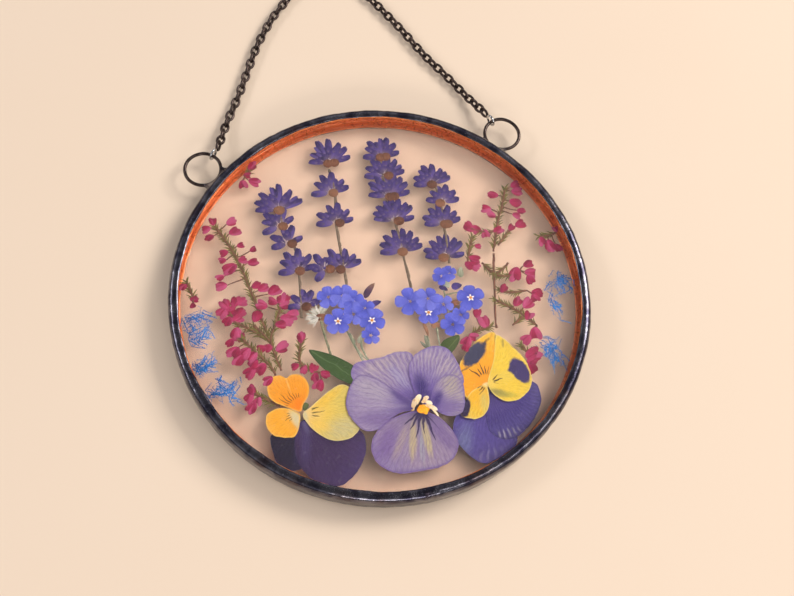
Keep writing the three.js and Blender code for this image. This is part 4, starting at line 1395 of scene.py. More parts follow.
def twig(shape, points, width, level, finish, tone=0.5, taper=0.7):
    """A thin round stem, pressed a little flat, along a line of points."""
    if len(points) > 2:
        line = spaced([(*p, 0.0) for p in points], 0.5)[0]
    else:
        a, b = (Vector((*p, 0.0)) for p in points)
        steps = max(2, round((b - a).length / 0.5))
        line = [a.lerp(b, i / steps) for i in range(steps + 1)]
    centres, frames, radii = [], [], []
    count = len(line)
    for i, p in enumerate(line):
        ahead = (line[min(i + 1, count - 1)] - line[max(i - 1, 0)]).normalized()
        side = Vector((-ahead.y, ahead.x, 0))
        wobble = noise.noise(Vector((p.x * 0.9, p.y * 0.9, width)))
        centres.append(Vector((p.x, p.y, level)) + side * (0.10 * wobble))
        frames.append((side, Vector((0, 0, 0.45))))
        radii.append(width / 2 * (1 - (1 - taper) * i / count) * (1 + 0.35 * wobble))
    points, faces = tube(centres, frames, radii, 6, False)
    along = [i / count for i in range(count) for _ in range(6)]
    shape.add(points, faces, finish, along=along, tone=[tone] * len(points))
    return line


def lobe_material(name, base, middle, tip, streak_and_highlight, patch, strength=0.6):
    """Dried small petal: colour along its length, pale streaks and painted highlights, tone of its own
    and a fine grain.
    """
    material, tree, shader, _ = new_material(name)
    along = node(tree, "ShaderNodeAttribute", attribute_name="along").outputs["Fac"]
    across = node(tree, "ShaderNodeAttribute", attribute_name="across").outputs["Fac"]
    tone = node(tree, "ShaderNodeAttribute", attribute_name="tone").outputs["Fac"]
    place = group(tree, "place")
    shade = ramp(tree, along, [(0.05, tint(base)), (0.45, tint(middle)), (0.95, tint(tip))])
    lines = node(tree, "ShaderNodeCombineXYZ", {
        "X": calc(tree, "MULTIPLY", across, 2.6), "Y": calc(tree, "MULTIPLY", along, 0.9),
        "Z": calc(tree, "MULTIPLY", tone, 37.0)}).outputs[0]
    lines = cloud(tree, lines, 1.3, 3.0, 0.6)
    # Streaks in the fourth colour: partly pale streaks, partly painted highlights on glossy bells and
    # florets.
    shade = mixed(tree, ranged(tree, lines, 0.52, 0.70, 0.0, strength), shade, tint(streak_and_highlight))
    spots = cloud(tree, place, 1.1, 4.0, 0.6)
    shade = mixed(tree, ranged(tree, spots, 0.52, 0.66, 0.0, 0.6), shade, tint(patch))
    dark = mixed(tree, 1.0, shade, (0.62, 0.60, 0.64, 1.0), "MULTIPLY")
    shade = mixed(tree, ranged(tree, tone, 0.5, 0.0, 0.0, 0.8), shade, dark)
    # Lobes with a high tone lean to the streak colour: lighter lobes and painted highlights.
    shade = mixed(tree, ranged(tree, tone, 0.6, 1.0, 0.0, 0.35), shade, tint(streak_and_highlight))
    edge = ranged(tree, calc(tree, "ABSOLUTE", across), 0.7, 1.0, 0.0, 0.35)
    shade = mixed(tree, edge, shade, mixed(tree, 1.0, shade, (0.55, 0.5, 0.55, 1.0), "MULTIPLY"))
    plug(tree, shade, shader.inputs["Base Color"])
    plug(tree, ranged(tree, lines, 0.3, 0.7, 0.5, 0.8), shader.inputs["Roughness"])
    shader.inputs["Specular IOR Level"].default_value = 0.3
    bumped(tree, shader, calc(tree, "ADD", lines, cloud(tree, place, 3.0, 4.0, 0.6)), 0.5, 0.06)
    return material


def hash_tone(*values):
    """A fixed number from 0 to 1 for a place."""
    spot = math.sin(sum(v * k for v, k in zip(values, (12.9898, 78.233, 37.719)))) * 43758.5453
    return spot - math.floor(spot)


def stem_material(name, base, dark, pale):
    material, tree, shader, _ = new_material(name)
    place = group(tree, "place")
    grain = cloud(tree, place, 1.8, 5.0, 0.65)
    shade = mixed(tree, ranged(tree, grain, 0.35, 0.55), tint(dark), tint(base))
    shade = mixed(tree, ranged(tree, grain, 0.56, 0.70, 0.0, 0.8), shade, tint(pale))
    plug(tree, shade, shader.inputs["Base Color"])
    plug(tree, ranged(tree, grain, 0.3, 0.7, 0.6, 0.9), shader.inputs["Roughness"])
    shader.inputs["Specular IOR Level"].default_value = 0.25
    bumped(tree, shader, grain, 0.5, 0.06)
    return material


# Lavender: for each spike its stem, and its whorls as [x, y, reach, lean, number of florets]
LAVENDER = {
    "lavender_spike_1": (
        [(-21.5, 27), (-21, 21), (-19, 15), (-19, 8), (-20, -3)],
        [(-21.5, 26.5, 7.0, 92, 8), (-22, 22, 5.2, 112, 6), (-20.5, 17, 5.0, 105, 5),
         (-19, 9.5, 5.6, 95, 6), (-19, 0, 4.6, 92, 5)]),
    "lavender_spike_2": (
        [(-7.5, 36), (-7, 29), (-8, 21), (-8, 8), (-8, -1)],
        [(-7, 38, 6.6, 92, 8), (-8, 29.5, 5.6, 92, 6), (-8, 21, 5.6, 92, 6), (-8.5, 8.5, 5.8, 92, 6),
         (-12.5, 9, 4.6, 140, 4)]),
    "lavender_spike_3": (
        [(6, 38), (6, 30), (6.5, 22), (7, 12), (7.5, -2)],
        [(6.5, 38, 5.6, 90, 7), (6.5, 32.5, 6.0, 88, 8), (6.5, 26.5, 6.4, 88, 9),
         (6.5, 19.5, 6.4, 88, 9), (7, 11, 6.2, 90, 8)]),
    "lavender_spike_4": (
        [(18.5, 30), (19, 22), (18.5, 14), (18, 6)],
        [(18, 28.5, 5.6, 92, 8), (19.5, 23, 5.0, 82, 6), (18.5, 17, 5.6, 92, 7),
         (17.5, 8, 6.0, 88, 8)]),
}


def fan_point(x, y, reach, degrees):
    turn = math.radians(degrees)
    return x + reach * math.cos(turn), y + reach * math.sin(turn)


def lavender_shape(stem, whorls):
    shape = Shape("along", "across", "tone")
    twig(shape, stem, 0.75, 3.20, 2, 0.5, 0.9)
    for x, y, reach, lean, florets in whorls:
        for k in range(florets + florets // 2):
            tone = hash_tone(x, y, k)
            front = k >= florets
            share = (k - florets + 0.7) / (florets // 2) if front else k / (florets - 1)
            swing = lean + (110 if front else 165) * (share - 0.5) + 12 * (tone - 0.5)
            size = reach * (0.72 if front else 1.0 - 0.16 * abs(2 * share - 1)) * (0.92 + 0.16 * tone)
            base = fan_point(x, y, 0.16 * size, swing)
            tip = fan_point(x, y, size, swing)
            level = 3.20 + 0.045 * (k % 3) + (0.05 if front else 0.0)
            wide = 1.6 + 0.4 * tone
            lobe(shape, base, tip, wide, level, 0, tone, 0.12, 0.05 * (tone - 0.5), "oblong")
            inner = fan_point(x, y, 0.55 * size, swing + 4)
            mouth = fan_point(x, y, size * 1.02, swing + 3)
            lobe(shape, inner, mouth, wide * 0.55, level + 0.06, 0, 1 - tone, 0.08, 0.0, "oblong")
        for k in range(9):
            end = fan_point(x, y, 1.2 + 1.4 * hash_tone(y, x, k), 20 + 140 * hash_tone(x, y, k))
            lobe(shape, (x, y - 0.4), end, 0.17, 3.33 + 0.02 * (k % 2), 3, 0.5, 0.04, 0.06,
                 "needle", 3, 1)
        for k in range(2 if florets > 6 else 1):
            across = 2.2 * (hash_tone(x, k, y) - 0.5)
            lobe(shape, (x + across, y - 1.6), (x + across + 0.3, y + 0.8), 2.5, 3.38, 1,
                 hash_tone(y, x), 0.12, 0.0, "round")
            lobe(shape, (x + across + 0.6, y - 1.4), (x + across + 1.1, y + 0.5), 1.1, 3.36, 1,
                 hash_tone(x, k), 0.10, 0.1, "scale")
    return shape


# Forget-me-nots: flowers as [x, y, petal length, spin, has an eye], buds as [x, y, x, y, width,
# finish] and stems as [width, points]
FORGET_ME_NOTS = {
    "forget_me_not_left": (
        [(-12.9, 1.3, 2.9, 20, False), (-9.5, 1.1, 3.0, 50, False), (-7.2, -0.4, 2.7, 5, False),
         (-11.6, -5.3, 3.3, 12, True), (-3.5, -6.2, 3.3, 40, True), (-4.4, -9.9, 2.3, 20, False),
         (-7.6, -4.0, 2.6, 66, False), (-4.6, -3.0, 2.5, 30, False)],
        [(-4.3, -0.2, -1.2, 3.4, 1.7, 4), (-3.2, -2.4, -0.4, -1.6, 1.5, 1),
         (-7.0, -2.6, -5.8, -4.4, 1.2, 1), (-13.6, -3.6, -16.4, -4.2, 0.9, 5),
         (-8.4, -11.2, -9.4, -8.8, 0.9, 2), (-7.6, -11.4, -6.2, -9.2, 1.0, 2)],
        [(0.7, [(-9.4, -8.6), (-8.4, -12.0), (-7.2, -16.2)]),
         (0.6, [(-6.4, -9.0), (-7.0, -12.3), (-5.8, -16.4)]),
         (0.45, [(-9.8, -8.0), (-8.2, -13.0), (-6.2, -15.8)])],
    ),
    "forget_me_not_right": (
        [(15.4, 2.8, 2.5, 45, False), (21.3, -3.9, 3.5, 15, True), (6.5, -2.7, 3.6, 25, False),
         (10.9, -2.6, 3.0, 60, False), (10.4, -6.2, 3.0, 10, True), (14.4, -4.6, 2.4, 40, False),
         (15.6, -10.1, 3.1, 22, False), (18.0, -8.0, 2.2, 55, False), (17.2, 3.4, 2.0, 10, False)],
        [(17.2, -0.6, 19.9, -0.2, 1.9, 1), (14.2, 0.2, 16.2, -1.2, 1.3, 1),
         (18.3, -4.6, 16.2, -4.4, 1.6, 5), (10.4, -9.6, 12.9, -9.8, 1.6, 5),
         (8.6, -8.6, 9.2, -12.4, 0.9, 5), (20.0, 1.8, 20.6, 4.6, 1.6, 2),
         (15.6, 1.6, 16.6, -0.6, 1.6, 2), (9.2, -15.4, 8.4, -11.6, 1.0, 2),
         (8.8, -15.2, 7.0, -13.0, 0.8, 2)],
        [(0.5, [(11.7, -7.0), (11.6, -11.0), (11.5, -15.2)]), (0.6, [(9.0, -12.0), (9.0, -15.8)]),
         (0.45, [(15.4, 1.0), (15.2, -4.0), (15.6, -9.0)]),
         (0.4, [(15.0, -2.4), (18.0, -2.0), (21.0, -3.2)])],
    ),
}


FORGET_ME_NOT_STEM_LEVEL = 3.40
FORGET_ME_NOT_LEVEL = 3.42


def forget_me_not_shape(flowers, buds, stems):
    shape = Shape("along", "across", "tone")
    for width, points in stems:
        twig(shape, points, width, FORGET_ME_NOT_STEM_LEVEL, 2, 0.5)
    for x1, y1, x2, y2, width, finish in buds:
        lobe(shape, (x1, y1), (x2, y2), width, FORGET_ME_NOT_LEVEL, finish, hash_tone(x1, y1),
             0.10, 0.05, "scale")
    for k, (x, y, size, spin, eye) in enumerate(flowers):
        level = FORGET_ME_NOT_LEVEL + 0.05 * (k % 4)
        for i in range(5):
            turn = math.radians(spin + 72 * i + 8 * (hash_tone(x, i) - 0.5))
            tone = 0.25 + 0.75 * hash_tone(x, y, i)
            base = (x + 0.25 * math.cos(turn), y + 0.25 * math.sin(turn))
            reach = size * (0.92 + 0.16 * tone)
            tip = (x + reach * math.cos(turn), y + reach * math.sin(turn))
            lobe(shape, base, tip, size * 0.86, level + 0.012 * i, 0, tone, 0.07, 0.02, "tear", 8, 3)
        if eye:
            for i in range(5):
                turn = math.radians(spin + 72 * i)
                tip = (x + 0.95 * math.cos(turn), y + 0.95 * math.sin(turn))
                lobe(shape, (x, y), tip, 0.42, level + 0.13, 3, 0.8, 0.05, 0.0, "oblong", 4, 1)
            lobe(shape, (x - 0.38, y), (x + 0.38, y), 0.72, level + 0.17, 6, 0.5, 0.06, 0.0, "round")
    return shape


def calyx_shape():
    """A grey tuft of fuzzy sepals on a brown stem."""
    shape = Shape("along", "across", "tone")
    twig(shape, [(-15.6, -3.6), (-15.2, -8.5), (-14.4, -14.4)], 0.7, 3.33, 2, 0.5)
    for k in range(58):
        spin = math.radians(35 + 200 * hash_tone(k, 3.0))
        start = 0.9 * hash_tone(k, 5.0)
        size = start + 1.3 + 1.9 * hash_tone(k, 7.0)
        x, y = -15.9, -3.4
        base = (x + start * math.cos(spin), y + start * math.sin(spin))
        tip = (x + size * math.cos(spin), y + size * math.sin(spin))
        lobe(shape, base, tip, 0.34 + 0.2 * hash_tone(k, 9.0), 3.34 + 0.012 * (k % 9), k % 3 // 2,
             hash_tone(k, 1.0), 0.05, 0.12 * (hash_tone(k, 2.0) - 0.5), "needle", 4, 1)
    lobe(shape, (-16.6, -3.0), (-13.4, -4.0), 0.9, 3.46, 3, 0.4, 0.06, 0.08, "scale")
    return shape


# Heather: for each piece its main stems, and its bells as [x, y, size]
HEATHER = {
    "heather_left_tip": (
        [[(-37.5, 23.5), (-35, 18.5), (-33, 13.5), (-31, 5), (-28.5, -6.5)]],
        [(-38, 25.5, 1.1), (-40, 23.5, 1.1), (-39.5, 21, 1.2), (-33.5, 24.5, 1.2), (-33, 22, 1.4),
         (-32, 18, 0.9), (-29, 16.5, 1.0), (-36.5, 16.5, 1.1), (-37, 14.5, 0.9), (-32, 14, 1.1),
         (-29.5, 13, 1.3), (-35.5, 12, 1.8), (-38, 10, 1.0), (-38, 8, 1.3), (-29.5, 7, 1.2),
         (-28, 6, 1.3), (-25.5, 5, 1.5)]),
    "heather_left_fork_1": (
        [[(-37, 1.5), (-35.5, -2), (-32, -4.5), (-29, -7.5)]],
        [(-37.5, 3, 1.4), (-35, 3.5, 1.5), (-33.5, 3, 1.2), (-38.5, 1, 1.4), (-36.5, 1, 1.4),
         (-34.5, 0.5, 1.5), (-37.5, -1.5, 1.4), (-35, -1, 1.3), (-36, -5, 1.6), (-37.5, -7, 1.2),
         (-35, -6, 1.3)]),
    "heather_left_fork_2": (
        [[(-34.5, -6.5), (-32, -10), (-29, -14), (-28, -16.5)]],
        [(-37, -9.5, 1.6), (-36, -11.5, 1.7), (-34.5, -10, 1.5), (-33, -11, 1.4), (-34, -15, 1.5),
         (-33, -13, 1.4), (-31.5, -14.5, 1.7), (-30, -17.5, 1.3)]),
    "heather_left_fork_3": (
        [[(-24.5, 0.5), (-26.5, -4), (-28, -7.5), (-27.5, -11.5), (-26.5, -15.5)],
         [(-31.5, -3.5), (-29.5, -6), (-28, -8.5)]],
        [(-29, 1.5, 1.3), (-26.5, 2, 1.2), (-24.5, 2.5, 1.1), (-23, 2.5, 1.2), (-30.5, -1, 1.5),
         (-23.5, -3, 1.5), (-22, -2, 1.3), (-25, -4, 1.3), (-30.5, -9.5, 1.2), (-29, -9.5, 1.2),
         (-25.5, -10, 1.5), (-23.5, 0.5, 1.2)]),
    "heather_left_foot": (
        [[(-33.5, -20), (-30, -22.5), (-28, -24)]],
        [(-34, -19, 1.4), (-35, -21, 1.3), (-34.5, -23.5, 1.4), (-33, -22, 1.0)]),
    "heather_left_twig": (
        [[(-21, -9), (-22, -14), (-19.5, -16.5), (-17.5, -17.5)]],
        [(-21, -8, 1.3), (-23.5, -15, 1.1), (-21.5, -16, 1.1), (-19, -16, 1.2), (-19, -18.5, 1.2),
         (-16.5, -18, 1.2), (-18.5, -20.5, 1.4)]),
    "heather_loose_upper_left": (
        [[(-27, 39), (-28.5, 37), (-29.5, 35.5)]],
        [(-26.5, 39.5, 1.3), (-29.5, 34.5, 1.2), (-26.5, 35, 1.4), (-28, 37, 1.0)]),
    "heather_loose_left": (
        [[(-46, 10), (-45, 6.5), (-45, 4)]], [(-47, 9, 1.1), (-44.5, 5.5, 1.0), (-45, 4, 0.9)]),
    "heather_right_tip": (
        [[(36, 24), (34, 19), (32.5, 16), (30.5, 10.5), (29.5, 7.5)], [(25, 14.5), (28.5, 13), (31, 13)],
         [(33.5, 11.5), (31, 9)]],
        [(39, 25, 1.2), (39, 23, 1.3), (38, 20, 1.5), (39, 17.5, 1.1), (37.5, 16.5, 1.0),
         (38, 14, 1.4), (35.5, 13.5, 1.1), (32.5, 23, 1.3), (30, 19.5, 1.2), (31, 17.5, 1.1),
         (32, 13, 1.3), (28.5, 12.5, 1.1), (26.5, 14, 1.2), (24.5, 15, 1.5)]),
    "heather_right_stem": ([[(29.5, 7), (28.5, 2.5), (27.5, -3.5), (26.5, -8.5), (26, -12.5)]], []),
    "heather_right_fork_1": (
        [[(29, 1.5), (31.5, 3), (32.5, 4)], [(29, 1), (32, 0.5), (35, 1.5)]],
        [(33.5, 0.5, 1.9), (37.5, 3, 1.3), (37.5, 0.5, 1.3), (37, -1.5, 1.3)]),
    "heather_right_fork_2": (
        [[(27.5, -5.5), (30, -7.5), (32.5, -9.5), (36, -13.5)], [(29, -3), (31.5, -4), (35.5, -4)],
         [(33, -10.5), (30, -12.5)]],
        [(32.5, -6.5, 1.3), (35, -7.5, 1.4), (38, -5, 1.4), (37, -6.5, 1.2), (34.5, -10.5, 1.2),
         (35, -15.5, 1.6), (32.5, -16.5, 1.3), (30, -2.5, 1.3)]),
    "heather_right_fork_3": (
        [[(25, 12), (23.5, 8.5), (22.5, 5.5)], [(28, 2), (26, 5)]],
        [(26, 9.5, 0.8), (24, 4.5, 1.4), (24.5, 6, 1.4), (23, 4.5, 1.4)]),
    "heather_right_foot": (
        [[(24.5, -12), (21.5, -12.5), (19, -13.5)]],
        [(23.5, -10.5, 1.5), (22, -8, 1.2), (18, -15, 1.4), (17.5, -16.5, 1.2), (20, -14, 1.1)]),
    "heather_right_twig": (
        [[(31, -18), (32.5, -20.5), (32.5, -22)]],
        [(33.5, -20.5, 1.9), (32.5, -24, 1.6), (33, -22, 1.4)]),
    "heather_loose_right": (
        [[(42, 10), (44.5, 10), (46.5, 10.5)]],
        [(42.5, 8.5, 1.2), (44, 7, 1.6), (46, 6, 1.2), (46.5, 11.5, 0.8)]),
}
BARE_STEM = "heather_right_stem"


def needles(shape, line, level, seed):
    """Short leaves in pairs along a stem, leaning to its tip."""
    travelled = 0.0
    turn = 0
    for a, b in zip(line, line[1:]):
        travelled += (b - a).length
        if travelled < 0.42:
            continue
        travelled = 0.0
        turn += 1
        ahead = (a - b).normalized()
        for sign in (1, -1):
            tone = hash_tone(a.x + sign, a.y, seed)
            swing = sign * math.radians(16 + 34 * hash_tone(a.y, a.x, sign + seed))
            size = 1.5 + 0.9 * tone
            way = (ahead.x * math.cos(swing) - ahead.y * math.sin(swing),
                   ahead.x * math.sin(swing) + ahead.y * math.cos(swing))
            tip = (a.x + way[0] * size, a.y + way[1] * size)
            lobe(shape, (a.x, a.y), tip, 0.30 + 0.12 * tone, level + 0.02 * (turn % 3), 1, tone,
                 0.05, -sign * 0.08, "needle", 4, 1)


def heather_shape(name, stems, bells):
    shape = Shape("along", "across", "tone")
    level = node_level(name)
    lines = []
    for k, points in enumerate(stems):
        line = twig(shape, points, 0.62, level, 2, hash_tone(k, level), 0.85)
        lines.extend(line)
        if name != BARE_STEM:
            needles(shape, line, level + 0.01, k)
    for x, y, size in bells:
        spot = Vector((x, y, 0))
        nearest = min(lines, key=lambda p: (p - spot).length)
        away = spot - nearest
        bearing = math.atan2(away.y, away.x) if away.length > 0.3 else 2 * math.pi * hash_tone(x, y)
        bearing += 0.7 * (hash_tone(y, x) - 0.5)
        long, wide = 2.1 * size, 1.3 * size
        base = (x - 0.55 * long * math.cos(bearing), y - 0.55 * long * math.sin(bearing))
        stalk = (Vector((*base, 0)) - nearest).length
        if stalk > 0.5:
            bow = 0.12 * stalk * (hash_tone(x, y, 5) - 0.5)
            middle = ((nearest.x + base[0]) / 2 + bow, (nearest.y + base[1]) / 2 - bow)
            twig(shape, [(nearest.x, nearest.y), middle, base], 0.36, level, 2, 0.5, 0.85)
        count = 4 if size > 1.25 else 3
        for i in range(count):
            tone = hash_tone(x, y, i)
            swing = bearing + math.radians(34) * (i / (count - 1) - 0.5) * (1 + 0.3 * tone)
            reach = long * (0.82 + 0.3 * tone)
            tip = (base[0] + reach * math.cos(swing), base[1] + reach * math.sin(swing))
            lobe(shape, base, tip, wide * (0.66 + 0.16 * tone), level + 0.03 + 0.022 * i, 0, tone,
                 0.09, 0.05 * (tone - 0.5), "round")
    return shape


# Dyed lace flower: the guide lines that each tangle's threads are strewn along
LACE = {
    "blue_lace_1": [
        [(-44, 4), (-43.5, 1), (-42.5, -2.5), (-42, -5.5)], [(-47, 1), (-46.5, -4), (-44.5, -6)],
        [(-47, 1), (-45, 0.5), (-43.5, 0)], [(-46.5, -4), (-43, -2.5)],
        [(-45.5, -5.5), (-42.5, -4.5)]],
    "blue_lace_2": [
        [(-47, -9.5), (-46, -11.5), (-43.5, -12), (-41, -10)], [(-46, -11.5), (-44.5, -13.5)],
        [(-45, -12), (-42, -11)]],
    "blue_lace_3": [
        [(-44, -16.5), (-41.5, -18), (-39, -20), (-36.5, -20.5)],
        [(-41, -14.5), (-40.5, -17), (-39.5, -19.5)],
        [(-37, -16.5), (-38.5, -18), (-39.5, -19.5)], [(-44, -18.5), (-40.5, -18.5)]],
    "blue_lace_4": [
        [(43.5, -0.5), (42, -4.5), (41.5, -8), (42.5, -12.5), (43, -15)],
        [(45, -1), (45.5, -4.5), (42, -5.5)], [(43, -1.5), (46, -4)], [(41, -7.5), (42.5, -10)]],
    "blue_lace_5": [
        [(36, -17.5), (37.5, -19.5), (37, -22)], [(41, -18), (38.5, -19.5), (39.5, -22), (38, -26)],
        [(37.5, -19.5), (38.5, -19.5)], [(38.5, -20.5), (37.5, -23)]],
}
LACE_STRANDS = 16
LACE_DRIFT = 2.2
LACE_SWING = 110.0
LACE_LEVEL = 3.20


def lace_shape(lines):
    """A loose tangle: short curved threads strewn along the guide lines, with finer hairs on them."""
    shape = Shape("along", "across", "tone")
    for k, points in enumerate(lines):
        guide = spaced([(*p, 0.0) for p in points], 0.5)[0]
        for strand in range(LACE_STRANDS):
            pick = hash_tone(k, strand, guide[0].x)
            first = int(pick * max(1, len(guide) - 3))
            part = guide[first:first + 4 + int(5 * hash_tone(strand, k))]
            if len(part) < 3:
                continue
            drift = Vector((hash_tone(first, strand, k) - 0.5, hash_tone(k, first, strand) - 0.5, 0))
            swing = math.radians(LACE_SWING * (hash_tone(strand, first) - 0.5))
            turned = [Matrix.Rotation(swing, 3, "Z") @ (p - part[0]) + part[0] + LACE_DRIFT * drift
                      for p in part]
            level = LACE_LEVEL + 0.02 * (strand % 12)
            width = 0.11 + 0.12 * hash_tone(k, strand)
            line = twig(shape, [(p.x, p.y) for p in turned], width, level, 0, pick)
            for p in line[::2]:
                bearing = 2 * math.pi * hash_tone(p.y, p.x, strand)
                size = 0.4 + 0.8 * hash_tone(p.x, p.y)
                tip = (p.x + size * math.cos(bearing), p.y + size * math.sin(bearing))
                lobe(shape, (p.x, p.y), tip, 0.12, level + 0.02, 0, pick, 0.04, 0.12, "needle", 3, 1)
    return shape


# Tufts, gold and dark folds in the pansy's throat: [x, y, x, y, width, finish]
PANSY_THROAT_LOBES = [
    (1.9, -29.9, 4.0, -26.9, 1.5, 1), (3.2, -28.4, 4.6, -26.3, 1.3, 1),
    (4.6, -28.4, 6.4, -27.0, 1.1, 1), (5.2, -29.0, 7.9, -30.6, 1.0, 1),
    (5.4, -28.2, 7.0, -29.0, 1.0, 1), (6.6, -30.2, 7.9, -32.2, 0.5, 1),
    (4.2, -28.2, 5.2, -27.2, 0.5, 2), (2.6, -30.2, 3.4, -28.6, 0.35, 2),
    (6.0, -30.0, 6.9, -31.2, 0.4, 2), (3.1, -30.0, 6.1, -30.0, 2.1, 0),
    (3.9, -28.8, 5.3, -31.2, 1.5, 0),
]
PANSY_THROAT_LEVEL = 3.985


class SUNCATCHER_OT_pansy(bpy.types.Operator):
    """Add the pressed pansy with its veined petals and golden throat"""

    bl_idname = "suncatcher.pansy"
    bl_label = "Pansy"

    def execute(self, context):
        add_petals([name for name in PETALS if name.startswith("pansy")])
        shape = Shape("along", "across", "tone")
        for k, (x1, y1, x2, y2, width, finish) in enumerate(PANSY_THROAT_LOBES):
            level = PANSY_THROAT_LEVEL + 0.004 * (k % 4)
            lobe(shape, (x1, y1), (x2, y2), width, level, finish, hash_tone(x1, y2, k), 0.03, 0.06,
                 "oblong" if finish else "round", 6, 2)
        finishes = [
            lobe_material("golden_throat", "F59A10", "F8AE14", "F9B81E", "FBD050", "E88A08", 0.5),
            lobe_material("cream_tuft", "E8C88E", "EFD6A8", "F4E6C8", "FBF3E0", "D8A660", 0.5),
            lobe_material("dark_throat_fold", "241A38", "2C2146", "2C2146", "40305A", "1A1228", 0.3),
        ]
        throat = shape.build("pansy_throat_tufts", finishes, "throat")
        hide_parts("pansy_throat")
        return {"FINISHED"}


class SUNCATCHER_OT_violas(bpy.types.Operator):
    """Add the two pressed violas, orange and yellow over violet"""

    bl_idname = "suncatcher.violas"
    bl_label = "Violas"

    def execute(self, context):
        add_petals([name for name in PETALS if "viola" in name])
        return {"FINISHED"}


class SUNCATCHER_OT_leaves(bpy.types.Operator):
    """Add the two green leaves"""

    bl_idname = "suncatcher.leaves"
    bl_label = "Leaves"

    def execute(self, context):
        add_petals(["large_leaf", "small_leaf"])
        return {"FINISHED"}


class SUNCATCHER_OT_lavender(bpy.types.Operator):
    """Add the four lavender spikes with their florets and papery bracts"""

    bl_idname = "suncatcher.lavender"
    bl_label = "Lavender"

    def execute(self, context):
        finishes = [
            # The florets' fourth colour is a painted highlight as well as a pale streak.
            lobe_material("lavender_floret", "6E5C74", "3C2A70", "2E2058", "6A589E", "261A48", 0.45),
            lobe_material("papery_bract", "6A4028", "754830", "583424", "9A7050", "46281A", 0.6),
            stem_material("lavender_stem", "7A6A58", "54463C", "988876"),
            lobe_material("lavender_fuzz", "9A8A90", "B0A0A2", "BCACAC", "D8CCCA", "80707C", 0.4),
        ]
        for name, parts in LAVENDER.items():
            piece = lavender_shape(*parts).build(f"{name}_dried", finishes, "lavender")
            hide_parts(name)
        return {"FINISHED"}


class SUNCATCHER_OT_forget_me_nots(bpy.types.Operator):
    """Add the forget-me-nots and the fuzzy grey calyx"""

    bl_idname = "suncatcher.forget_me_nots"
    bl_label = "Forget-me-nots"

    def execute(self, context):
        stems = stem_material("grey_green_stem", "8A8A6E", "5A5C48", "B4B096")
        brown = lobe_material("brown_bract", "6A4434", "8A5A42", "5E3A2C", "B08868", "4A2E24", 0.6)
        finishes = [
            lobe_material("forget_me_not_petal", "3A40A2", "4E57C0", "5E66CC", "8288DC", "3E46B0", 0.5),
            lobe_material("dark_bud", "3A2C66", "43327A", "332658", "6A5AA8", "2A2048", 0.5),
            lobe_material("grey_sepal", "6E765E", "848A72", "9A9E88", "C6C8B4", "5C6650", 0.6),
            lobe_material("pale_star", "F0E8E4", "F4EEEA", "F8F4F0", "FFFFFF", "E0D4D0", 0.3),
            lobe_material("plum_bud", "4A3050", "5A3C5C", "A07858", "7A5A78", "3A2440", 0.5),
            brown,
            lobe_material("ochre_eye", "C07830", "D08A3A", "D08A3A", "F0B060", "9A5A28", 0.5),
        ]
        for name, parts in FORGET_ME_NOTS.items():
            piece = forget_me_not_shape(*parts).build(f"{name}_dried", finishes, "forget")
            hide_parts(name)
        tufts = [
            lobe_material("grey_fuzz", "8C8C78", "A8A896", "C8C6B8", "E6E4D8", "78806A", 0.6),
            lobe_material("white_fuzz", "B4B2A4", "CCCABE", "DEDCD2", "F6F4EC", "A0A090", 0.5),
            stems, brown,
        ]
        piece = calyx_shape().build("fuzzy_calyx_dried", tufts, "calyx")
        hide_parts("fuzzy_calyx")
        return {"FINISHED"}


class SUNCATCHER_OT_heather(bpy.types.Operator):
    """Add the heather branches with their bells and needle leaves"""

    bl_idname = "suncatcher.heather"
    bl_label = "Heather"

    def execute(self, context):
        finishes = [
            # The bells' fourth colour is a painted pink highlight as well as a pale streak.
            lobe_material("heather_bell", "A8285A", "9A0C42", "860734", "D070A0", "6E0428", 0.4),
            lobe_material("heather_needle", "4E4A1E", "625C26", "6C652C", "948A4A", "3C3A18", 0.5),
            stem_material("heather_stem", "7A5040", "553A2C", "9A7258"),
        ]
        for name, parts in HEATHER.items():
            piece = heather_shape(name, *parts).build(f"{name}_dried", finishes, "heather")
            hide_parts(name)
        return {"FINISHED"}


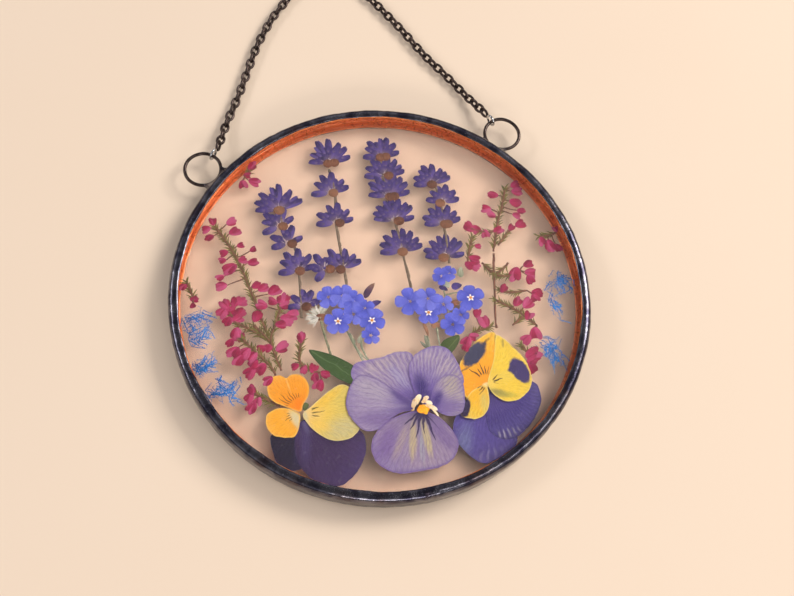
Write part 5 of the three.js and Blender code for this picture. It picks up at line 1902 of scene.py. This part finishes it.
class SUNCATCHER_OT_lace(bpy.types.Operator):
    """Add the tangles of dyed blue lace flower"""

    bl_idname = "suncatcher.lace"
    bl_label = "Blue lace"

    def execute(self, context):
        finishes = [lobe_material("dyed_lace", "1468BC", "1A80D6", "2490E6", "4CAAF0", "0E509C", 0.5)]
        for name, lines in LACE.items():
            piece = lace_shape(lines).build(f"{name}_dried", finishes, "lace")
            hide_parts(name)
        return {"FINISHED"}


OPERATORS = [
    SUNCATCHER_OT_stage, SUNCATCHER_OT_chain, SUNCATCHER_OT_glass, SUNCATCHER_OT_foil,
    SUNCATCHER_OT_rim, SUNCATCHER_OT_rings, SUNCATCHER_OT_pansy, SUNCATCHER_OT_violas,
    SUNCATCHER_OT_leaves, SUNCATCHER_OT_lavender, SUNCATCHER_OT_forget_me_nots,
    SUNCATCHER_OT_heather, SUNCATCHER_OT_lace,
]


class SUNCATCHER_PT_panel(bpy.types.Panel):
    """Lists the pieces of the suncatcher"""

    bl_idname = "SUNCATCHER_PT_panel"
    bl_label = "Suncatcher"
    bl_space_type = "VIEW_3D"
    bl_region_type = "UI"
    bl_category = "Suncatcher"

    def draw(self, context):
        for settings in (context.scene.suncatcher_sizes, context.scene.suncatcher_colours):
            for key in settings.__annotations__:
                self.layout.prop(settings, key)
        for operator in OPERATORS:
            self.layout.operator(operator.bl_idname)


CLASSES = [SuncatcherSizes, SuncatcherColours, *OPERATORS, SUNCATCHER_PT_panel]


def register():
    for item in CLASSES:
        bpy.utils.register_class(item)
    bpy.types.Scene.suncatcher_sizes = bpy.props.PointerProperty(type=SuncatcherSizes)
    bpy.types.Scene.suncatcher_colours = bpy.props.PointerProperty(type=SuncatcherColours)


def unregister():
    del bpy.types.Scene.suncatcher_colours
    del bpy.types.Scene.suncatcher_sizes
    for item in reversed(CLASSES):
        bpy.utils.unregister_class(item)


def main():
    register()
    for operator in OPERATORS:
        getattr(bpy.ops.suncatcher, operator.bl_idname.split(".")[1])()
    sizes = [[list(map(float, corner)) for corner in box] for box in (FRAME_BOX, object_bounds())]


if __name__ == "__main__":
    main()
